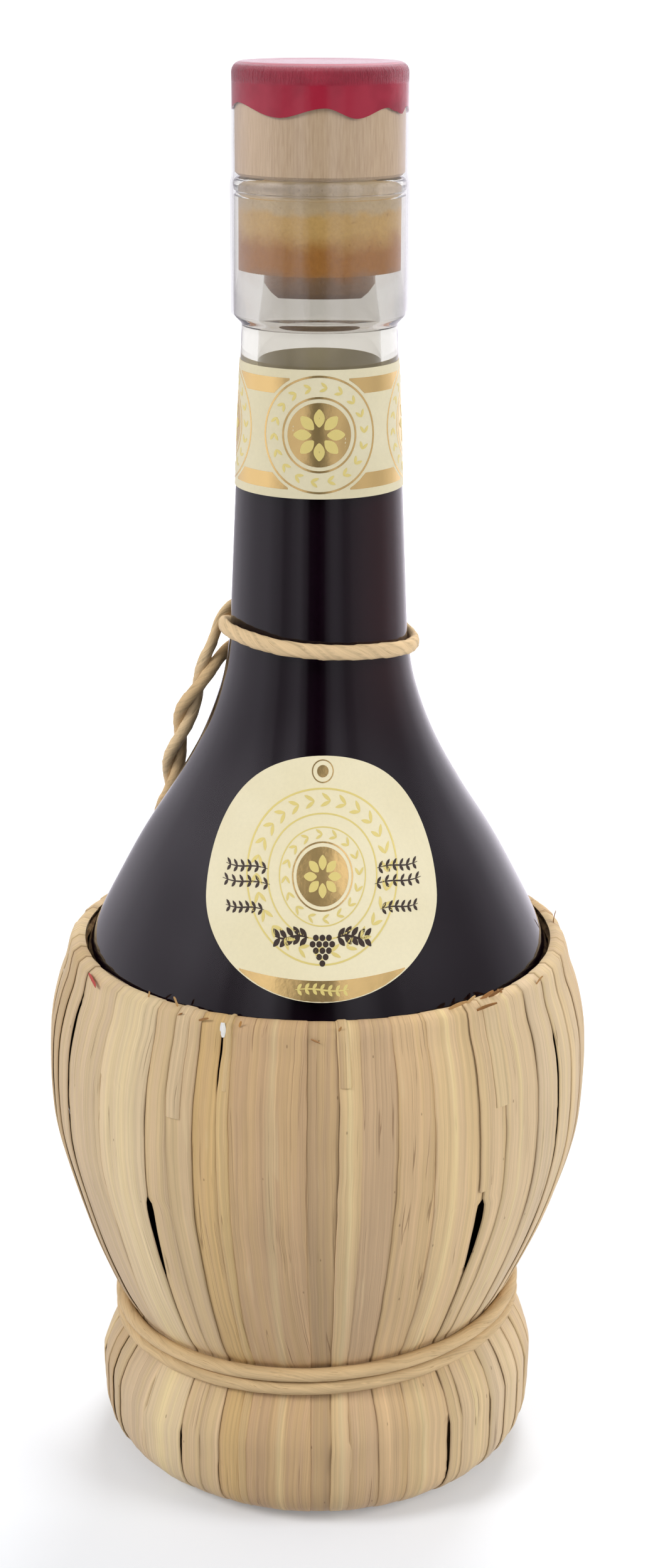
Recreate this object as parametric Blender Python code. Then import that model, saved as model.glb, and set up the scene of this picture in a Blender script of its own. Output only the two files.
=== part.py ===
"""Straw covered bottle: a glass flask in a dress of folded straw blades, with a twisted carrying
cord, a bar-top stopper and a shrink capsule. Metres, +Z up, origin on the table under the axis."""

import math

import bmesh
import bpy
from mathutils import Matrix, Vector

MM = 0.001

# Modelling: how near points are one point, which edges stay sharp, how far in a rounding's middle lies
WELD = 0.001 * MM
SHARP_ANGLE = math.radians(40)
ROUND_NEAR_SHARE = 0.3
HALVINGS = 30

# Flask: heights add up from the table, radii are outside radii
FLASK_SEGMENTS = 40
FOOT_HEIGHT = 14.0 * MM
BOWL_HEIGHT = 64.0 * MM
BELLY_RADIUS = 47.4 * MM
SHOULDER_HEIGHT = 82.0 * MM
NECK_FOOT_RADIUS = 16.0 * MM
NECK_LENGTH = 57.0 * MM
NECK_TOP_RADIUS = 13.5 * MM
COLLAR_LENGTH = 24.0 * MM
COLLAR_RADIUS = 14.9 * MM
COLLAR_STEP = 0.9 * MM
LIP_HEIGHT = 2.6 * MM
LIP_GROOVE = 0.5 * MM
LIP_ROUNDING = 1.2 * MM
GLASS_WALL = 3.0 * MM
BORE_RADIUS = 9.5 * MM
BORE_ROUNDING = 0.6 * MM
BORE_FLARE = 5.0 * MM
BOWL_ROWS = 8
SHOULDER_ROWS = 14
INNER_BOWL_ROWS = 5
INNER_SHOULDER_ROWS = 7
INNER_FLOOR_SHARE = 1.3
# Pairs of shares: of the bowl's height from the foot up, and of the belly's radius
BOWL_SHARES = (
    (0.0, 0.25), (0.125, 0.48), (0.31, 0.70), (0.5, 0.835), (0.69, 0.932), (0.85, 0.985), (1.0, 1.0),
)
# Pairs of shares: of the shoulder's height from the belly up, and of what the belly has over the neck
SHOULDER_SHARES = (
    (0.0, 1.0), (0.12, 0.981), (0.24, 0.899), (0.34, 0.797), (0.44, 0.667), (0.54, 0.526),
    (0.66, 0.329), (0.78, 0.161), (0.90, 0.048), (1.0, 0.0),
)

# Filling
LEVEL_UNDER_COLLAR = 17.0 * MM
FILL_GAP = 0.3 * MM

# Stopper
HEAD_RADIUS = 14.55 * MM
HEAD_HEIGHT = 18.2 * MM
HEAD_ROUNDING = 1.9 * MM
HEAD_CHAMFER = 0.5 * MM
HEAD_SEAT_GAP = 0.3 * MM
SOCKET_DEPTH = 3.0 * MM
SHANK_LENGTH = 23.8 * MM
SHANK_BEVEL = 2.4 * MM
SHANK_FIT = 0.2 * MM

# Shrink capsule: a red cap over a clear sleeve, edge to edge along a wavy line
CAPSULE_COLUMNS = 42
CAPSULE_WALL = 0.3 * MM
CAPSULE_FIT = 0.2 * MM
CAPSULE_ROUNDING = 1.8 * MM
CAPSULE_RED_HEIGHT = 8.6 * MM
CAPSULE_ABOVE_STEP = 1.0 * MM
CAPSULE_JOIN_GAP = 0.3 * MM
DRIPS = 7
DRIP_DEPTH = 0.85 * MM
DRIP_VARIATION_SHARE = 0.3
DRIP_TURN_SHARE = 0.57

# Labels
LABEL_THICKNESS = 0.25 * MM
LABEL_GAP = 0.3 * MM
NECK_LABEL_DROP = 7.0 * MM
NECK_LABEL_HEIGHT = 22.0 * MM
NECK_LABEL_SPAN = math.radians(330)
NECK_LABEL_COLUMNS = 30
SHOULDER_LABEL_DROP = 16.4 * MM
SHOULDER_LABEL_ABOVE_HOOP = 4.2 * MM
SHOULDER_LABEL_WAIST_SHARE = 0.6
SHOULDER_LABEL_HALF_WIDTH = 21.6 * MM
SHOULDER_LABEL_ROWS = 9
SHOULDER_LABEL_COLUMNS = 8
SHOULDER_LABEL_END_SHARE = 0.97

# Straw dress
BLADE_WIDTH_SHARES = (1.14, 0.9, 1.06, 0.8, 1.12, 0.98)
BLADE_REPEATS = 6
BLADE_THICKNESS = 0.75 * MM
BLADE_CROWN = 0.25 * MM
BLADE_LIFT = 1.7 * MM
BLADE_OVERLAP = math.radians(2.6)
BLADE_SIDE_GAP = math.radians(0.7)
STRAW_GAP = 0.7 * MM
RIM_ABOVE_BELLY = 23.4 * MM
RIM_LEAD = 4.0 * MM
RIM_TUCK = 8.0 * MM
RIM_FOLD_ANGLE = math.radians(115)
RIM_FOLD_STEPS = 3
HOOP_RADIUS = 0.6 * MM
HOOP_GAP = 0.3 * MM
HOOP_STEPS = 32
BELLY_STATIONS = 5
WAIST_HEIGHT = 31.3 * MM
WAIST_BAND = 5.8 * MM
BASE_SWELL = 5.3 * MM
BASE_FLAT_INSET = 1.2 * MM
BASE_INNER_RADIUS = 24.0 * MM
# Pairs of shares: of the height of the waist's lower edge, and of the swell of the base below it
BASE_SHARES = ((0.93, 0.3), (0.82, 0.65), (0.62, 0.88), (0.42, 1.0), (0.22, 0.93), (0.09, 0.46))
# How much of its lift a blade keeps at each of these, and from where it is too narrow to overlap
BASE_LIFT_SHARES = (1.0, 1.0, 1.0, 1.0, 0.6, 0.0)
BASE_NARROW_FROM = 3

# Packed straw ring that the flask stands in
RING_GAP = 0.6 * MM
RING_TOP_CLEARANCE = 3.0 * MM
RING_BORE_RADIUS = 18.0 * MM
RING_SEAT_GAP = 0.3 * MM
RING_SEAT_STEPS = 3

# Waist cord: two turns wound flat, with the climb from one to the other at the back
WAIST_CORD_DIAMETER = 2.4 * MM
WOUND_SIDES_RESOLUTION = 1
WAIST_CORD_GAP = 0.3 * MM
WAIST_TURN_PITCH = 2.95 * MM
WAIST_STEPS_PER_TURN = 24
WAIST_TURNS = 1.833
WAIST_CLIMB_START = math.radians(300)
WAIST_CLIMB_SPAN = math.radians(60)
WAIST_START_ANGLE = math.radians(120)

# Carrying cord: two strands, twisted together where they run down to the rim
CORD_DIAMETER = 2.2 * MM
CORD_STEP = 4.9 * MM
CORD_PAIR_SPACING = 2.85 * MM
LEFT_PAIR_TURNS = 1.75
RIGHT_PAIR_TURNS = 1.5
CORD_SIDES_RESOLUTION = 2
CORD_END_GAP = 0.3 * MM
# Middle line of each twisted pair from the neck down to the rim, in millimetres
LEFT_PAIR_MM = (
    (-20.2, 6.2, 153.2), (-23.1, 9.2, 146.4), (-25.5, 12.6, 139.6), (-27.2, 16.9, 132.2),
    (-28.6, 21.4, 124.4), (-30.0, 25.8, 116.4), (-32.0, 29.5, 108.8), (-32.2, 30.0, 103.9),
)
RIGHT_PAIR_MM = (
    (13.2, 17.4, 149.2), (15.8, 18.9, 142.4), (19.1, 20.3, 135.8), (22.9, 21.9, 129.0),
    (27.0, 23.9, 121.8), (31.0, 25.5, 114.6), (34.7, 26.6, 107.8), (35.2, 26.5, 103.9),
)
# First strand between the pairs: behind the neck, round its front and behind it again
NECK_LOOP_MM = (
    (-20.1, 6.0, 157.3), (-18.1, 9.0, 161.6), (-13.8, 13.1, 164.0), (-7.4, 16.9, 164.4),
    (-0.6, 18.2, 163.4), (6.0, 17.1, 162.0), (11.8, 13.4, 160.5), (16.3, 7.8, 159.4),
    (18.0, 1.2, 159.0), (17.0, -5.6, 159.6), (12.9, -12.3, 160.5), (7.0, -16.4, 161.1),
    (0.2, -17.85, 161.5), (-6.6, -16.5, 161.9), (-12.5, -12.8, 162.5), (-16.5, -7.2, 162.8),
    (-17.8, -0.6, 162.4), (-16.5, 6.4, 160.7), (-12.4, 13.0, 159.2), (-6.4, 17.0, 158.0),
    (0.2, 18.4, 157.0), (6.4, 18.2, 155.6), (11.0, 17.4, 153.3),
)
# Second strand between the pairs, low behind the neck
NECK_PASS_MM = (
    (-18.0, 7.4, 154.6), (-16.0, 10.6, 155.7), (-12.2, 14.8, 155.6), (-6.6, 18.1, 154.9),
    (-0.2, 19.2, 153.9), (5.8, 18.9, 152.3), (10.0, 18.1, 150.2),
)

# Heights that follow from the sizes above
BELLY_LEVEL = FOOT_HEIGHT + BOWL_HEIGHT
NECK_LEVEL = BELLY_LEVEL + SHOULDER_HEIGHT
COLLAR_LEVEL = NECK_LEVEL + NECK_LENGTH
LIP_LEVEL = COLLAR_LEVEL + COLLAR_LENGTH
HOOP_LEVEL = BELLY_LEVEL + RIM_ABOVE_BELLY
WAIST_TOP = WAIST_HEIGHT + WAIST_BAND / 2
WAIST_BOTTOM = WAIST_HEIGHT - WAIST_BAND / 2
FILL_LEVEL = COLLAR_LEVEL - LEVEL_UNDER_COLLAR
HEAD_LEVEL = LIP_LEVEL + HEAD_SEAT_GAP
HEAD_TOP = HEAD_LEVEL + HEAD_HEIGHT
CAPSULE_TOP = HEAD_TOP + CAPSULE_FIT + CAPSULE_WALL
WAVE_LEVEL = CAPSULE_TOP - CAPSULE_RED_HEIGHT

FRONT = -math.pi / 2
FULL_TURN = 2 * math.pi
BACK = math.pi / 2


def smooth_share(pairs, share):
    """Reads a table of share pairs as one smooth curve, with Hermite pieces between its points."""
    share = min(max(share, pairs[0][0]), pairs[-1][0])
    index = max(i for i in range(len(pairs) - 1) if pairs[i][0] <= share)
    slopes = []
    for i in (index, index + 1):
        before = pairs[max(i - 1, 0)]
        after = pairs[min(i + 1, len(pairs) - 1)]
        slopes.append((after[1] - before[1]) / (after[0] - before[0]))
    (x0, y0), (x1, y1) = pairs[index], pairs[index + 1]
    width = x1 - x0
    t = (share - x0) / width
    return (
        y0 * (2 * t**3 - 3 * t**2 + 1) + slopes[0] * width * (t**3 - 2 * t**2 + t)
        + y1 * (3 * t**2 - 2 * t**3) + slopes[1] * width * (t**3 - t**2)
    )


def flask_radius(level):
    """Outside radius of the flask's body at a height above the table."""
    if level <= BELLY_LEVEL:
        return BELLY_RADIUS * smooth_share(BOWL_SHARES, (level - FOOT_HEIGHT) / BOWL_HEIGHT)
    if level <= NECK_LEVEL:
        over_neck = smooth_share(SHOULDER_SHARES, (level - BELLY_LEVEL) / SHOULDER_HEIGHT)
        return NECK_FOOT_RADIUS + (BELLY_RADIUS - NECK_FOOT_RADIUS) * over_neck
    return NECK_FOOT_RADIUS + (NECK_TOP_RADIUS - NECK_FOOT_RADIUS) * (level - NECK_LEVEL) / NECK_LENGTH


def spread(first, last, count):
    """Evenly spaced values from first to last, both included."""
    return [first + (last - first) * i / (count - 1) for i in range(count)]


def body_outline(shoulder_rows, bowl_rows):
    """The flask's outside from the neck's foot down to its foot, as (radius, height) points."""
    levels = spread(NECK_LEVEL, BELLY_LEVEL, shoulder_rows) + spread(BELLY_LEVEL, FOOT_HEIGHT, bowl_rows)[1:]
    return [(flask_radius(level), level) for level in levels]


def normals_of(points):
    """Unit normals of an outline that runs downwards on the outside, pointing outwards."""
    normals = []
    for i in range(len(points)):
        before = Vector(points[max(i - 1, 0)])
        after = Vector(points[min(i + 1, len(points) - 1)])
        along = (after - before).normalized()
        normals.append(Vector((-along.y, along.x)))
    return normals


def moved_out(points, distance):
    """An outline moved along its normals: outwards, or inwards where the distance is negative."""
    return [tuple(Vector(point) + normal * distance) for point, normal in zip(points, normals_of(points))]


def material(name, colour, roughness, metallic=0.0, transmission=0.0):
    made = bpy.data.materials.new(name)
    made.use_nodes = True
    shader = made.node_tree.nodes["Principled BSDF"]
    shader.inputs["Base Color"].default_value = (*colour, 1.0)
    shader.inputs["Roughness"].default_value = roughness
    shader.inputs["Metallic"].default_value = metallic
    shader.inputs["Transmission Weight"].default_value = transmission
    made.diffuse_color = (*colour, 1.0)
    return made


def new_object(name, bm, made_of, parent=None):
    """Turns a bmesh into a named, smooth shaded object."""
    bmesh.ops.recalc_face_normals(bm, faces=bm.faces)
    mesh = bpy.data.meshes.new(name)
    bm.to_mesh(mesh)
    bm.free()
    mesh.shade_smooth()
    mesh.set_sharp_from_angle(angle=SHARP_ANGLE)
    mesh.materials.append(made_of)
    made = bpy.data.objects.new(name, mesh)
    bpy.context.scene.collection.objects.link(made)
    place_under(made, parent)
    return made


def place_under(child, parent):
    """Parents an object and keeps it where it is."""
    if parent:
        child.parent = parent
        child.matrix_parent_inverse = Matrix.Translation(parent.location).inverted()


def turned(outline, segments):
    """Spins a closed (radius, height) outline about the Z axis. Points on the axis become one vertex."""
    bm = bmesh.new()
    verts = [bm.verts.new((radius, 0, level)) for radius, level in outline]
    edges = [bm.edges.new((verts[i], verts[(i + 1) % len(verts)])) for i in range(len(verts))]
    edges = [e for e in edges if max(v.co.x for v in e.verts) > WELD]
    bmesh.ops.spin(
        bm, geom=verts + edges, cent=(0, 0, 0), axis=(0, 0, 1),
        angle=FULL_TURN, steps=segments, use_merge=True,
    )
    bmesh.ops.remove_doubles(bm, verts=bm.verts, dist=WELD)
    loose = [e for e in bm.edges if not e.link_faces]
    bmesh.ops.delete(bm, geom=loose, context="EDGES")
    return bm


def lofted(rings):
    """Skins a row of rings that have the same number of points, with a face over each end."""
    bm = bmesh.new()
    rows = [[bm.verts.new(point) for point in ring] for ring in rings]
    count = len(rows[0])
    for upper, lower in zip(rows, rows[1:]):
        for i in range(count):
            bm.faces.new((upper[i], upper[(i + 1) % count], lower[(i + 1) % count], lower[i]))
    bm.faces.new(rows[0])
    bm.faces.new(rows[-1])
    return bm


def around(radius, angle, level):
    return Vector((radius * math.cos(angle), radius * math.sin(angle), level))


def glass_bottle(made_of):
    """The flask: round bowl, long neck, collar with a rounded lip, open at the mouth."""
    lip_foot = LIP_LEVEL - LIP_HEIGHT
    outside = [
        (BORE_RADIUS + BORE_ROUNDING, LIP_LEVEL),
        (COLLAR_RADIUS - LIP_ROUNDING, LIP_LEVEL),
        (COLLAR_RADIUS - LIP_ROUNDING * ROUND_NEAR_SHARE, LIP_LEVEL - LIP_ROUNDING * ROUND_NEAR_SHARE),
        (COLLAR_RADIUS, LIP_LEVEL - LIP_ROUNDING),
        (COLLAR_RADIUS, lip_foot + LIP_GROOVE),
        (COLLAR_RADIUS - LIP_GROOVE, lip_foot),
        (COLLAR_RADIUS, lip_foot - LIP_GROOVE),
        (COLLAR_RADIUS, COLLAR_LEVEL + COLLAR_STEP),
        (COLLAR_RADIUS - COLLAR_STEP * ROUND_NEAR_SHARE, COLLAR_LEVEL),
        (flask_radius(COLLAR_LEVEL - COLLAR_STEP), COLLAR_LEVEL - COLLAR_STEP),
    ]
    outside += body_outline(SHOULDER_ROWS, BOWL_ROWS) + [(0.0, FOOT_HEIGHT)]
    inside = inner_outline()
    mouth = [(BORE_RADIUS, COLLAR_LEVEL), (BORE_RADIUS, LIP_LEVEL - BORE_ROUNDING)]
    return new_object("glass_bottle", turned(outside + inside[::-1] + mouth, FLASK_SEGMENTS), made_of)


def inner_outline():
    """Inside of the flask from under the collar down to its floor."""
    under_bore = COLLAR_LEVEL - BORE_FLARE
    neck = [(flask_radius(level) - GLASS_WALL, level) for level in (under_bore, FILL_LEVEL)]
    body = moved_out(body_outline(INNER_SHOULDER_ROWS, INNER_BOWL_ROWS), -GLASS_WALL)
    lowest = FOOT_HEIGHT + GLASS_WALL * INNER_FLOOR_SHARE
    floor = FOOT_HEIGHT + GLASS_WALL
    foot_radius = BELLY_RADIUS * BOWL_SHARES[0][1]
    wall = [(radius, level) for radius, level in body if level > lowest]
    return neck + wall + [(foot_radius, floor), (0.0, floor)]


def condiment(made_of):
    """The dark filling, up to its level behind the neck label."""
    wall = moved_out(inner_outline()[1:-1], -FILL_GAP)
    top_radius = flask_radius(FILL_LEVEL) - GLASS_WALL - FILL_GAP
    foot_radius = wall[-1][0]
    floor = FOOT_HEIGHT + GLASS_WALL + FILL_GAP
    outline = [(0.0, FILL_LEVEL), (top_radius, FILL_LEVEL)] + wall[1:-1]
    outline += [(foot_radius, floor), (0.0, floor)]
    return new_object("condiment", turned(outline, FLASK_SEGMENTS), made_of)


def stopper_head(made_of, parent):
    """Turned wooden head with a socket underneath for the shank."""
    outline = [
        (0.0, HEAD_TOP),
        (HEAD_RADIUS - HEAD_ROUNDING, HEAD_TOP),
        (HEAD_RADIUS - HEAD_ROUNDING * ROUND_NEAR_SHARE, HEAD_TOP - HEAD_ROUNDING * ROUND_NEAR_SHARE),
        (HEAD_RADIUS, HEAD_TOP - HEAD_ROUNDING),
        (HEAD_RADIUS, HEAD_LEVEL + HEAD_CHAMFER),
        (HEAD_RADIUS - HEAD_CHAMFER, HEAD_LEVEL),
        (BORE_RADIUS, HEAD_LEVEL),
        (BORE_RADIUS, HEAD_LEVEL + SOCKET_DEPTH),
        (0.0, HEAD_LEVEL + SOCKET_DEPTH),
    ]
    return new_object("stopper_head", turned(outline, FLASK_SEGMENTS), made_of, parent)


def stopper_shank(made_of, parent):
    """Cork shank, glued into the head's socket and bevelled at its lower end."""
    radius = BORE_RADIUS - SHANK_FIT
    top = HEAD_LEVEL + SOCKET_DEPTH - SHANK_FIT
    bottom = top - SHANK_LENGTH
    outline = [
        (0.0, top),
        (radius, top),
        (radius, bottom + SHANK_BEVEL),
        (radius - SHANK_BEVEL, bottom),
        (0.0, bottom),
    ]
    return new_object("stopper_shank", turned(outline, FLASK_SEGMENTS), made_of, parent)


def wave(angle):
    """Height of the red cap's dripping edge around the capsule, from its mean level."""
    turn = angle - FRONT + DRIP_TURN_SHARE * FULL_TURN
    main = math.cos(DRIPS * turn)
    slow = math.cos((DRIPS - 2) * turn)
    return DRIP_DEPTH * (main * (1 - DRIP_VARIATION_SHARE) + slow * DRIP_VARIATION_SHARE)


def follow_wave(bm, level):
    """Bends the ring of points that was made at a level to the wavy line."""
    for vert in bm.verts:
        if abs(vert.co.z - level) < WELD:
            vert.co.z += wave(math.atan2(vert.co.y, vert.co.x))


def capsule_red(made_of, parent):
    """Opaque top of the shrink capsule, closed over the head."""
    inner = HEAD_RADIUS + CAPSULE_FIT
    outer = inner + CAPSULE_WALL
    under = CAPSULE_TOP - CAPSULE_WALL
    outline = [
        (0.0, CAPSULE_TOP),
        (outer - CAPSULE_ROUNDING, CAPSULE_TOP),
        (outer - CAPSULE_ROUNDING * ROUND_NEAR_SHARE, CAPSULE_TOP - CAPSULE_ROUNDING * ROUND_NEAR_SHARE),
        (outer, CAPSULE_TOP - CAPSULE_ROUNDING),
        (outer, WAVE_LEVEL),
        (inner, WAVE_LEVEL),
        (inner, CAPSULE_TOP - CAPSULE_ROUNDING),
        (inner - CAPSULE_ROUNDING * ROUND_NEAR_SHARE, under - CAPSULE_ROUNDING * ROUND_NEAR_SHARE),
        (outer - CAPSULE_ROUNDING, under),
        (0.0, under),
    ]
    bm = turned(outline, CAPSULE_COLUMNS)
    follow_wave(bm, WAVE_LEVEL)
    return new_object("capsule_red", bm, made_of, parent)


def capsule_clear(made_of, parent):
    """Clear sleeve below the red cap, down over the lip and the collar."""
    top = WAVE_LEVEL - CAPSULE_JOIN_GAP
    bottom = COLLAR_LEVEL + CAPSULE_ABOVE_STEP
    at_head = HEAD_RADIUS + CAPSULE_FIT
    at_collar = COLLAR_RADIUS + CAPSULE_FIT
    outline = [
        (at_head + CAPSULE_WALL, top),
        (at_head + CAPSULE_WALL, HEAD_LEVEL + HEAD_CHAMFER),
        (at_collar + CAPSULE_WALL, LIP_LEVEL - LIP_ROUNDING),
        (at_collar + CAPSULE_WALL, bottom),
        (at_collar, bottom),
        (at_collar, LIP_LEVEL - LIP_ROUNDING),
        (at_head, HEAD_LEVEL + HEAD_CHAMFER),
        (at_head, top),
    ]
    bm = turned(outline, CAPSULE_COLUMNS)
    follow_wave(bm, top)
    return new_object("capsule_clear", bm, made_of, parent)


def neck_label(made_of):
    """Paper band round the neck, with its seam at the back."""
    top = COLLAR_LEVEL - NECK_LABEL_DROP
    bottom = top - NECK_LABEL_HEIGHT
    rings = []
    for angle in spread(FRONT - NECK_LABEL_SPAN / 2, FRONT + NECK_LABEL_SPAN / 2, NECK_LABEL_COLUMNS + 1):
        corners = [(top, LABEL_GAP), (bottom, LABEL_GAP), (bottom, LABEL_GAP + LABEL_THICKNESS)]
        corners.append((top, LABEL_GAP + LABEL_THICKNESS))
        rings.append([around(flask_radius(level) + out, angle, level) for level, out in corners])
    return new_object("neck_label", lofted(rings), made_of)


def shoulder_label(made_of):
    """Egg shaped paper label, widest below its middle, bent to the front of the shoulder."""
    top = NECK_LEVEL - SHOULDER_LABEL_DROP
    bottom = HOOP_LEVEL + SHOULDER_LABEL_ABOVE_HOOP
    upper = (top - bottom) * SHOULDER_LABEL_WAIST_SHARE
    widest = top - upper
    lower = widest - bottom
    limit = math.asin(SHOULDER_LABEL_END_SHARE)
    rings = []
    for turn in spread(limit, -limit, SHOULDER_LABEL_ROWS):
        level = widest + math.sin(turn) * (upper if turn > 0 else lower)
        half = SHOULDER_LABEL_HALF_WIDTH * math.cos(turn) / flask_radius(level)
        angles = spread(FRONT - half, FRONT + half, SHOULDER_LABEL_COLUMNS + 1)
        inner = [around(flask_radius(level) + LABEL_GAP, angle, level) for angle in angles]
        outer = [around(flask_radius(level) + LABEL_GAP + LABEL_THICKNESS, angle, level) for angle in angles]
        rings.append(inner + outer[::-1])
    return new_object("shoulder_label", lofted(rings), made_of)


def hoop_radius():
    return flask_radius(HOOP_LEVEL) + HOOP_GAP + HOOP_RADIUS


def waist_radius():
    """Radius of the blades' inner side at the waist: just clear of the flask."""
    return flask_radius(WAIST_TOP) + STRAW_GAP


def straw_path():
    """Innermost line of the blades from the fold over the hoop down to the middle of the base.

    Each station is (radius, height, share of the lift, whether the blades overlap there)."""
    fold = HOOP_RADIUS + HOOP_GAP
    stations = []
    for angle in spread(RIM_FOLD_ANGLE, 0.0, RIM_FOLD_STEPS):
        radius = hoop_radius() + fold * math.cos(angle)
        stations.append((radius, HOOP_LEVEL + fold * math.sin(angle), 0.0, False))
    lead = HOOP_LEVEL - RIM_LEAD
    stations.append((flask_radius(lead) + STRAW_GAP, lead, 1.0, False))
    for level in spread(HOOP_LEVEL - RIM_TUCK, WAIST_TOP, BELLY_STATIONS + 1)[:-1]:
        stations.append((flask_radius(level) + STRAW_GAP, level, 1.0, True))
    stations.append((waist_radius(), WAIST_TOP, 1.0, True))
    stations.append((waist_radius(), WAIST_BOTTOM, 1.0, True))
    for row, (height_share, swell_share) in enumerate(BASE_SHARES):
        radius = waist_radius() + BASE_SWELL * swell_share
        stations.append((radius, WAIST_BOTTOM * height_share, BASE_LIFT_SHARES[row], row < BASE_NARROW_FROM))
    stations.append((waist_radius() - BASE_FLAT_INSET, BLADE_THICKNESS, 0.0, False))
    stations.append((BASE_INNER_RADIUS, BLADE_THICKNESS, 0.0, False))
    return stations


def blade_mesh_source(pitch):
    """One blade that starts at angle zero: thin, crowned, and lifted along one edge over its neighbour."""
    path = straw_path()
    normals = normals_of([(radius, level) for radius, level, _, _ in path])
    flat_from = len(path) - 2
    rings = []
    for row, (radius, level, lift_share, overlaps) in enumerate(path):
        span = pitch + BLADE_OVERLAP if overlaps else pitch - BLADE_SIDE_GAP
        normal = Vector((0.0, -1.0)) if row >= flat_from else normals[row]
        lift = BLADE_LIFT * lift_share
        crown = BLADE_CROWN if lift_share else 0.0
        section = (
            (0.0, 0.0), (0.0, BLADE_THICKNESS), (span / 2, lift / 2 + BLADE_THICKNESS + crown),
            (span, lift + BLADE_THICKNESS), (span, lift),
        )
        points = []
        for angle, out in section:
            points.append(around(radius + normal.x * out, angle, level + normal.y * out))
        rings.append(points)
    return lofted(rings)


def straw_blades(made_of):
    """All blades of the dress. Those of one width share a mesh and are turned to their places."""
    pitch = FULL_TURN / (sum(BLADE_WIDTH_SHARES) * BLADE_REPEATS)
    start = BACK
    meshes = {}
    number = 0
    for _ in range(BLADE_REPEATS):
        for kind, share in enumerate(BLADE_WIDTH_SHARES):
            number += 1
            name = f"straw_blade_{number:02d}"
            if kind in meshes:
                blade = bpy.data.objects.new(name, meshes[kind])
                bpy.context.scene.collection.objects.link(blade)
            else:
                blade = new_object(name, blade_mesh_source(pitch * share), made_of[kind % len(made_of)])
                meshes[kind] = blade.data
            blade.rotation_euler.z = start
            start += pitch * share


def base_ring(made_of):
    """Doughnut of packed straw inside the base, with a hollow seat for the bowl of the flask."""
    skin = [(radius, level) for radius, level, _, _ in straw_path()]
    top = WAIST_BOTTOM - RING_TOP_CLEARANCE
    floor = BLADE_THICKNESS + RING_SEAT_GAP
    swell = moved_out(skin[-len(BASE_SHARES) - 2:], -RING_GAP)[1:-2]
    outside = [(radius, level) for radius, level in swell if level < top]
    seat_levels = spread(top, FOOT_HEIGHT, RING_SEAT_STEPS + 1)[:-1]
    seat = [(flask_radius(level), level) for level in seat_levels]
    seat = moved_out(seat, RING_SEAT_GAP)
    low_level = level_of_radius(RING_BORE_RADIUS) - RING_SEAT_GAP
    seat = [(radius, level) for radius, level in seat if radius > RING_BORE_RADIUS and level > low_level]
    foot = [(waist_radius() - BASE_FLAT_INSET, floor), (RING_BORE_RADIUS, floor)]
    bore = [(RING_BORE_RADIUS, low_level)]
    return new_object("base_ring", turned(outside + foot + bore + seat[::-1], FLASK_SEGMENTS), made_of)


def level_of_radius(radius):
    """Height at which the bowl of the flask has a radius, found by halving."""
    low, high = FOOT_HEIGHT, BELLY_LEVEL
    for _ in range(HALVINGS):
        middle = (low + high) / 2
        if flask_radius(middle) < radius:
            low = middle
        else:
            high = middle
    return low


def tube(name, points, diameter, resolution, made_of, cyclic=False):
    """A round tube along points, with flat ends."""
    curve = bpy.data.curves.new(name, "CURVE")
    curve.dimensions = "3D"
    curve.twist_mode = "MINIMUM"
    curve.bevel_depth = diameter / 2
    curve.bevel_resolution = resolution
    curve.use_fill_caps = True
    spline = curve.splines.new("POLY")
    spline.points.add(len(points) - 1)
    for point, place in zip(spline.points, points):
        point.co = (*place, 1.0)
    spline.use_cyclic_u = cyclic
    curve.materials.append(made_of)
    made = bpy.data.objects.new(name, curve)
    bpy.context.scene.collection.objects.link(made)
    return made


def rim_hoop(made_of):
    """Thin hoop that the blades are folded over at the rim."""
    points = [around(hoop_radius(), FULL_TURN * i / HOOP_STEPS, HOOP_LEVEL) for i in range(HOOP_STEPS)]
    return tube("rim_hoop", points, 2 * HOOP_RADIUS, WOUND_SIDES_RESOLUTION, made_of, cyclic=True)


def waist_cord_points():
    """Two flat turns as one line, with a straight run of one diameter at each end."""
    skin = waist_radius() + BLADE_THICKNESS + BLADE_LIFT
    radius = skin + WAIST_CORD_GAP + WAIST_CORD_DIAMETER / 2
    step = FULL_TURN / WAIST_STEPS_PER_TURN
    count = round(WAIST_TURNS * WAIST_STEPS_PER_TURN)
    low = WAIST_HEIGHT - WAIST_TURN_PITCH / 2
    points = []
    for i in range(count + 1):
        angle = i * step
        climb = min(max((angle - WAIST_CLIMB_START) / WAIST_CLIMB_SPAN, 0.0), 1.0)
        eased = climb * climb * (3 - 2 * climb)
        points.append(around(radius, WAIST_START_ANGLE + angle, low + WAIST_TURN_PITCH * eased))
    first = (points[0] - points[1]).normalized() * WAIST_CORD_DIAMETER
    last = (points[-1] - points[-2]).normalized() * WAIST_CORD_DIAMETER
    return [points[0] + first] + points + [points[-1] + last]


def least_self_gap(points, diameter):
    """Smallest gap between stretches of a wound tube that lie at least a quarter turn apart along it."""
    apart = WAIST_STEPS_PER_TURN // 4
    gaps = []
    for i in range(len(points)):
        for j in range(i + apart, len(points)):
            gaps.append((points[i] - points[j]).length - diameter)
    return min(gaps)


def waist_cord(made_of):
    points = waist_cord_points()
    gap = least_self_gap(points, WAIST_CORD_DIAMETER)
    print(f"waist cord: least gap to itself {gap / MM:.2f} mm")
    return tube("waist_cord", points, WAIST_CORD_DIAMETER, WOUND_SIDES_RESOLUTION, made_of)


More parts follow.
